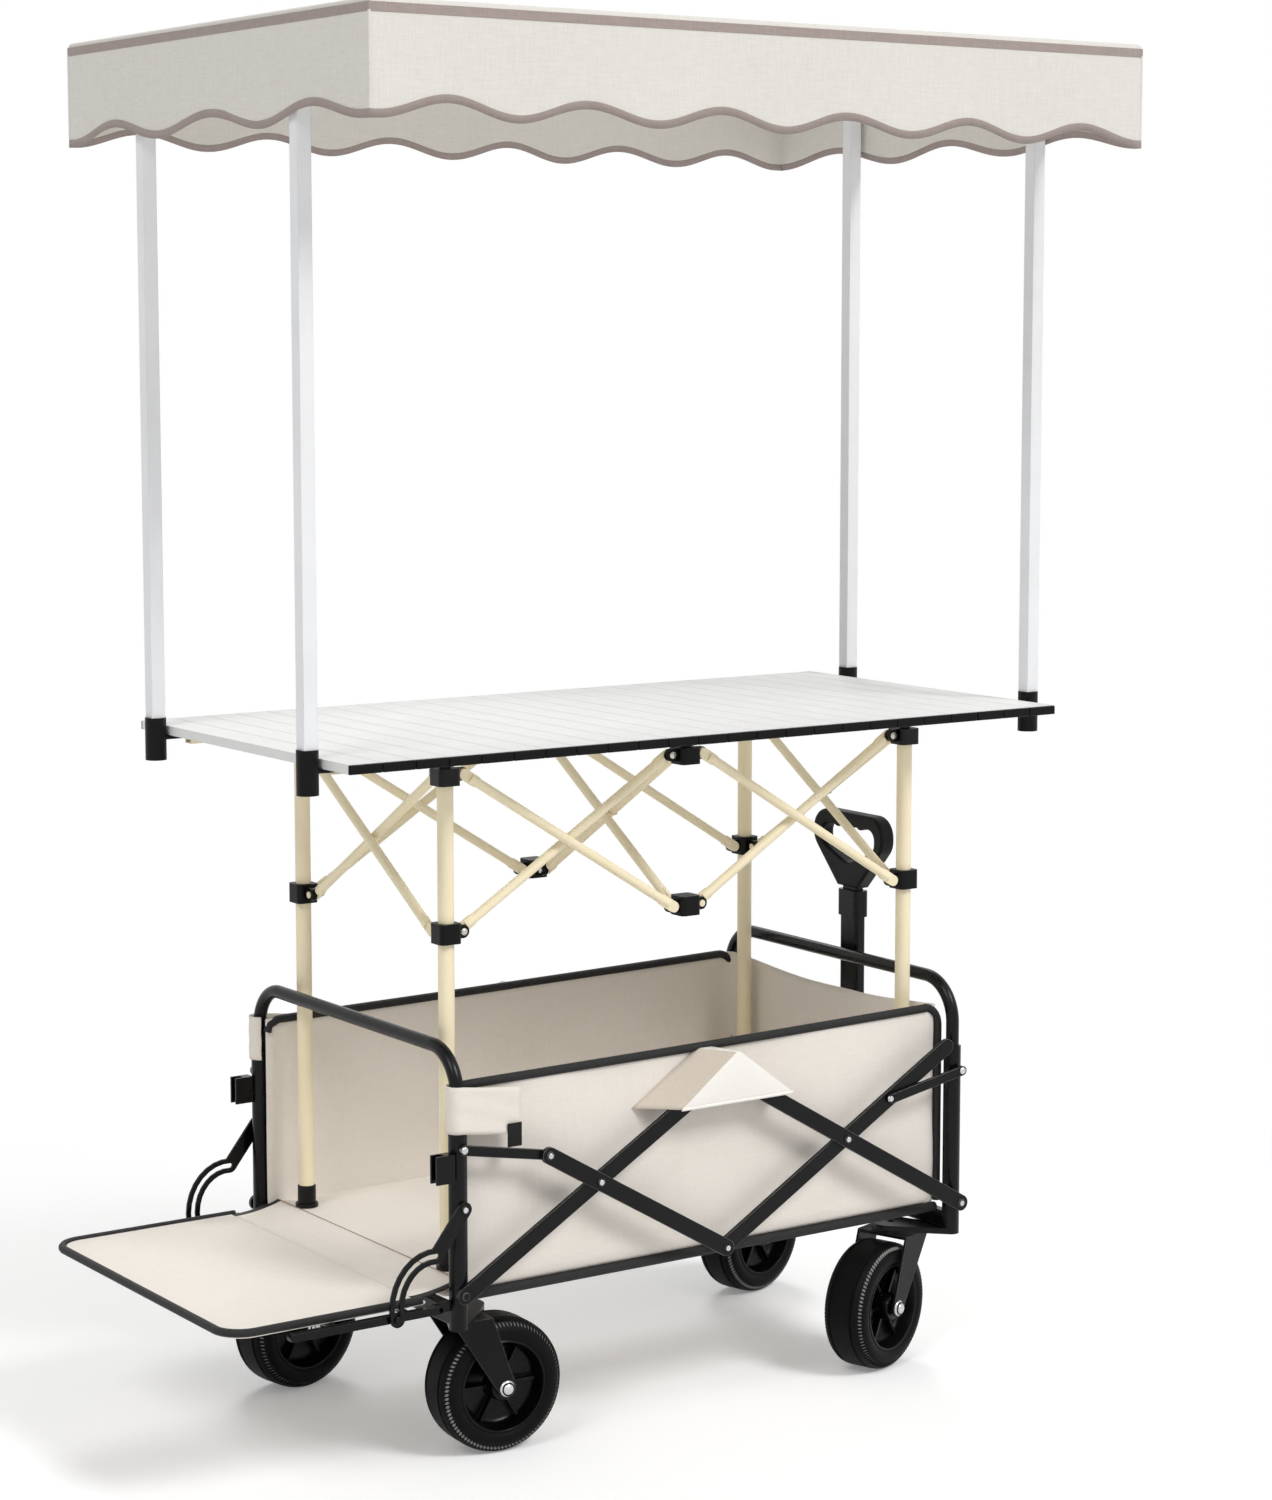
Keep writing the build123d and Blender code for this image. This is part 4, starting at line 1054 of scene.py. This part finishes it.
def canopy_sheet():
    """Points and faces of the cover, the count of roof faces, and which of the others are bound."""
    flat_long = half_long - fold_round - canopy_inset
    flat_wide = half_wide - fold_round - canopy_inset
    top = cover_high.z - canopy_sunk
    width = roof_across + 1
    verts = []
    for row in range(roof_deep + 1):
        for column in range(width):
            x = flat_long * (2 * column / roof_across - 1)
            y = flat_wide * (2 * row / roof_deep - 1)
            sag = roof_sag * (1 - (x / flat_long) ** 2) * (1 - (y / flat_wide) ** 2)
            verts.append((middle + x, y, top - sag))
    faces = grid_faces(roof_deep + 1, width)
    roof_faces = len(faces)
    edge = list(range(roof_across)) + [row * width + roof_across for row in range(roof_deep)]
    edge += [roof_deep * width + column for column in range(roof_across, 0, -1)]
    edge += [row * width for row in range(roof_deep, 0, -1)]
    bound_faces = []

    def hang(above, spots, bound):
        """Add a ring of points below another one and give their numbers."""
        row = list(range(len(verts), len(verts) + len(spots)))
        verts.extend(spots)
        for step in range(len(row)):
            after = (step + 1) % len(row)
            faces.append((above[step], row[step], row[after], above[after]))
            bound_faces.append(bound)
        return row

    def pushed(x, y, z, reach, on_end, on_side):
        """A point moved outwards from the ends or the sides of the roof."""
        return (
            middle + x + (reach if x > 0 else -reach) * on_end,
            y + (reach if y > 0 else -reach) * on_side,
            z,
        )

    bound_out = fold_round + binding_lift
    steps = [(fold_round * sin(lean), fold_round * (1 - cos(lean)), 0.0, False) for lean in fold_leans]
    steps.append((bound_out, fold_round + step_top, 0.0, True))
    steps.append((bound_out, top_binding, 0.0, True))
    steps.append((fold_round, top_binding + step_low, 0.0, True))
    steps += [(fold_round, top_binding, share, False) for share in np.linspace(0, 1, valance_rows)[1:]]
    above = edge
    for out, down, share, bound in steps:
        spots = []
        for index in edge:
            x, y = verts[index][0] - middle, verts[index][1]
            on_end = abs(abs(x) - flat_long) < edge_near
            on_side = abs(abs(y) - flat_wide) < edge_near
            long_share = (x / flat_long + 1) / 2 * waves_long
            wide_share = (y / flat_wide + 1) / 2 * waves_wide
            round_share = long_share if on_side else wide_share
            wave = wave_depth * (1 - cos(2 * pi * round_share)) / 2
            drop = down + (valance_drop - wave - hem_binding - down) * share
            sway = sway_depth * sin(pi * round_share + sway_start) * share ** 1.5
            reach = out + (sway if on_end != on_side else 0)
            spots.append(pushed(x, y, top - drop, reach, on_end, on_side))
        above = hang(above, spots, bound)
    valance_edge = above
    for down in (step_top, hem_binding):
        spots = []
        for index in valance_edge:
            x, y, z = verts[index][0] - middle, verts[index][1], verts[index][2]
            on_end = abs(x) > flat_long + fold_round / 2
            on_side = abs(y) > flat_wide + fold_round / 2
            spots.append(pushed(x, y, z - down, binding_lift, on_end, on_side))
        above = hang(above, spots, True)
    return verts, faces, roof_faces, bound_faces


verts, faces, roof_faces, bound_faces = canopy_sheet()
canopy_cloth = shape("canopy_cloth", verts, faces, linen, binding, sharp=50)
corner_radius, corner_steps = 0.0021, 12
seam_verts, seam_faces = [], []
for end in (-1, 1):
    for side in (-1, 1):
        corner_x, corner_y = middle + end * (half_long - canopy_inset), side * (half_wide - canopy_inset)
        corner_line = between(
            (corner_x, corner_y, cover_high.z - top_binding),
            (corner_x, corner_y, cover_low.z + hem_binding),
            corner_steps,
        )
        add(seam_verts, seam_faces, sweep(corner_line, corner_radius))
corner_seams = shape("canopy_corner_seams", seam_verts, seam_faces, linen, sharp=80)
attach(corner_seams, "canopy")
for face, bound in zip(canopy_cloth.data.polygons[roof_faces:], bound_faces):
    face.material_index = int(bound)
thicken(canopy_cloth, canopy_thick)
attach(canopy_cloth, "canopy")
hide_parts("canopy_cover")


# Studio
# A pale floor that fades to white away from the cart, a large soft light from the front right,
# weaker ones from the left and from behind, and a camera that stands where the photo was taken.
def sees_white(tree):
    """One for rays from the camera, straight or off a shine or through glass, else nought."""
    ray = tree.nodes.new("ShaderNodeLightPath").outputs
    shone = worked_out(tree, "MAXIMUM", ray["Is Camera Ray"], ray["Is Glossy Ray"])
    return worked_out(tree, "MAXIMUM", shone, ray["Is Transmission Ray"])


white = (1, 1, 1, 1)
floor_half = 14
floor_verts = [(x * floor_half, y * floor_half, 0) for x, y in ((-1, -1), (1, -1), (1, 1), (-1, 1))]
floor_mesh = bpy.data.meshes.new("floor")
floor_mesh.from_pydata(floor_verts, [], [(0, 1, 2, 3)])
floor = bpy.data.objects.new("floor", floor_mesh)
bpy.context.scene.collection.objects.link(floor)
floor_white, tree, matt = blank("floor_white")
matt.inputs["Base Color"].default_value = (0.93, 0.93, 0.93, 1)
matt.inputs["Roughness"].default_value = 0.9
matt.inputs["Specular IOR Level"].default_value = 0.1
seen_white = sees_white(tree)
floor_pale = 0.2
pale = tree.nodes.new("ShaderNodeEmission")
lit = tree.nodes.new("ShaderNodeAddShader")
tree.links.new(worked_out(tree, "MULTIPLY", seen_white, floor_pale), pale.inputs["Strength"])
tree.links.new(matt.outputs["BSDF"], lit.inputs[0])
tree.links.new(pale.outputs["Emission"], lit.inputs[1])
place = tree.nodes.new("ShaderNodeTexCoord")
distance = tree.nodes.new("ShaderNodeVectorMath")
distance.operation = "LENGTH"
fade = tree.nodes.new("ShaderNodeMapRange")
fade.interpolation_type = "SMOOTHSTEP"
fade.inputs["From Min"].default_value = 0.7
fade.inputs["From Max"].default_value = 1.9
glow = tree.nodes.new("ShaderNodeEmission")
blend = tree.nodes.new("ShaderNodeMixShader")
tree.links.new(place.outputs["Object"], distance.inputs[0])
tree.links.new(distance.outputs["Value"], fade.inputs["Value"])
tree.links.new(worked_out(tree, "MULTIPLY", fade.outputs["Result"], seen_white), blend.inputs["Fac"])
tree.links.new(lit.outputs["Shader"], blend.inputs[1])
tree.links.new(glow.outputs["Emission"], blend.inputs[2])
tree.links.new(blend.outputs["Shader"], tree.nodes["Material Output"].inputs["Surface"])
floor_mesh.materials.append(floor_white)

world = bpy.data.worlds.new("studio")
bpy.context.scene.world = world
world.use_nodes = True
sky = world.node_tree
ambient = sky.nodes["Background"]
ambient.inputs["Color"].default_value = white
ambient.inputs["Strength"].default_value = 0.35
seen = sky.nodes.new("ShaderNodeBackground")
seen.inputs["Color"].default_value = white
choose = sky.nodes.new("ShaderNodeMixShader")
sky.links.new(sees_white(sky), choose.inputs["Fac"])
sky.links.new(ambient.outputs["Background"], choose.inputs[1])
sky.links.new(seen.outputs["Background"], choose.inputs[2])
sky.links.new(choose.outputs["Shader"], sky.nodes["World Output"].inputs["Surface"])

light_aim = Vector((0.0, 0.0, 0.9))


def soft_light(name, place, size, watts):
    """A square soft box at a place, turned to the middle of the cart."""
    lamp = bpy.data.lights.new(name, "AREA")
    lamp.shape = "SQUARE"
    lamp.size = size
    lamp.energy = watts
    box = bpy.data.objects.new(name, lamp)
    box.location = place
    box.rotation_euler = (light_aim - Vector(place)).to_track_quat("-Z", "Y").to_euler()
    bpy.context.scene.collection.objects.link(box)


soft_light("key_light", (5.4, -13.3, 14.8), size=6.0, watts=1960)
soft_light("fill_light", (-9.5, -4.7, 11.5), size=5.0, watts=560)
soft_light("back_light", (4.5, 9.5, 11.5), size=5.0, watts=600)

camera = bpy.data.cameras.new("camera")
camera.lens = 80.32
camera.sensor_width = 36
camera.shift_y = -0.0209
camera_down, camera_turn = radians(6.7221), radians(-34.5522)
viewer = bpy.data.objects.new("camera", camera)
viewer.location = (middle - 2.5437, -3.7642, 1.448)
viewer.rotation_euler = (pi / 2 - camera_down, 0, camera_turn)
bpy.context.scene.collection.objects.link(viewer)
bpy.context.scene.camera = viewer
bpy.context.scene.view_settings.view_transform = "Standard"
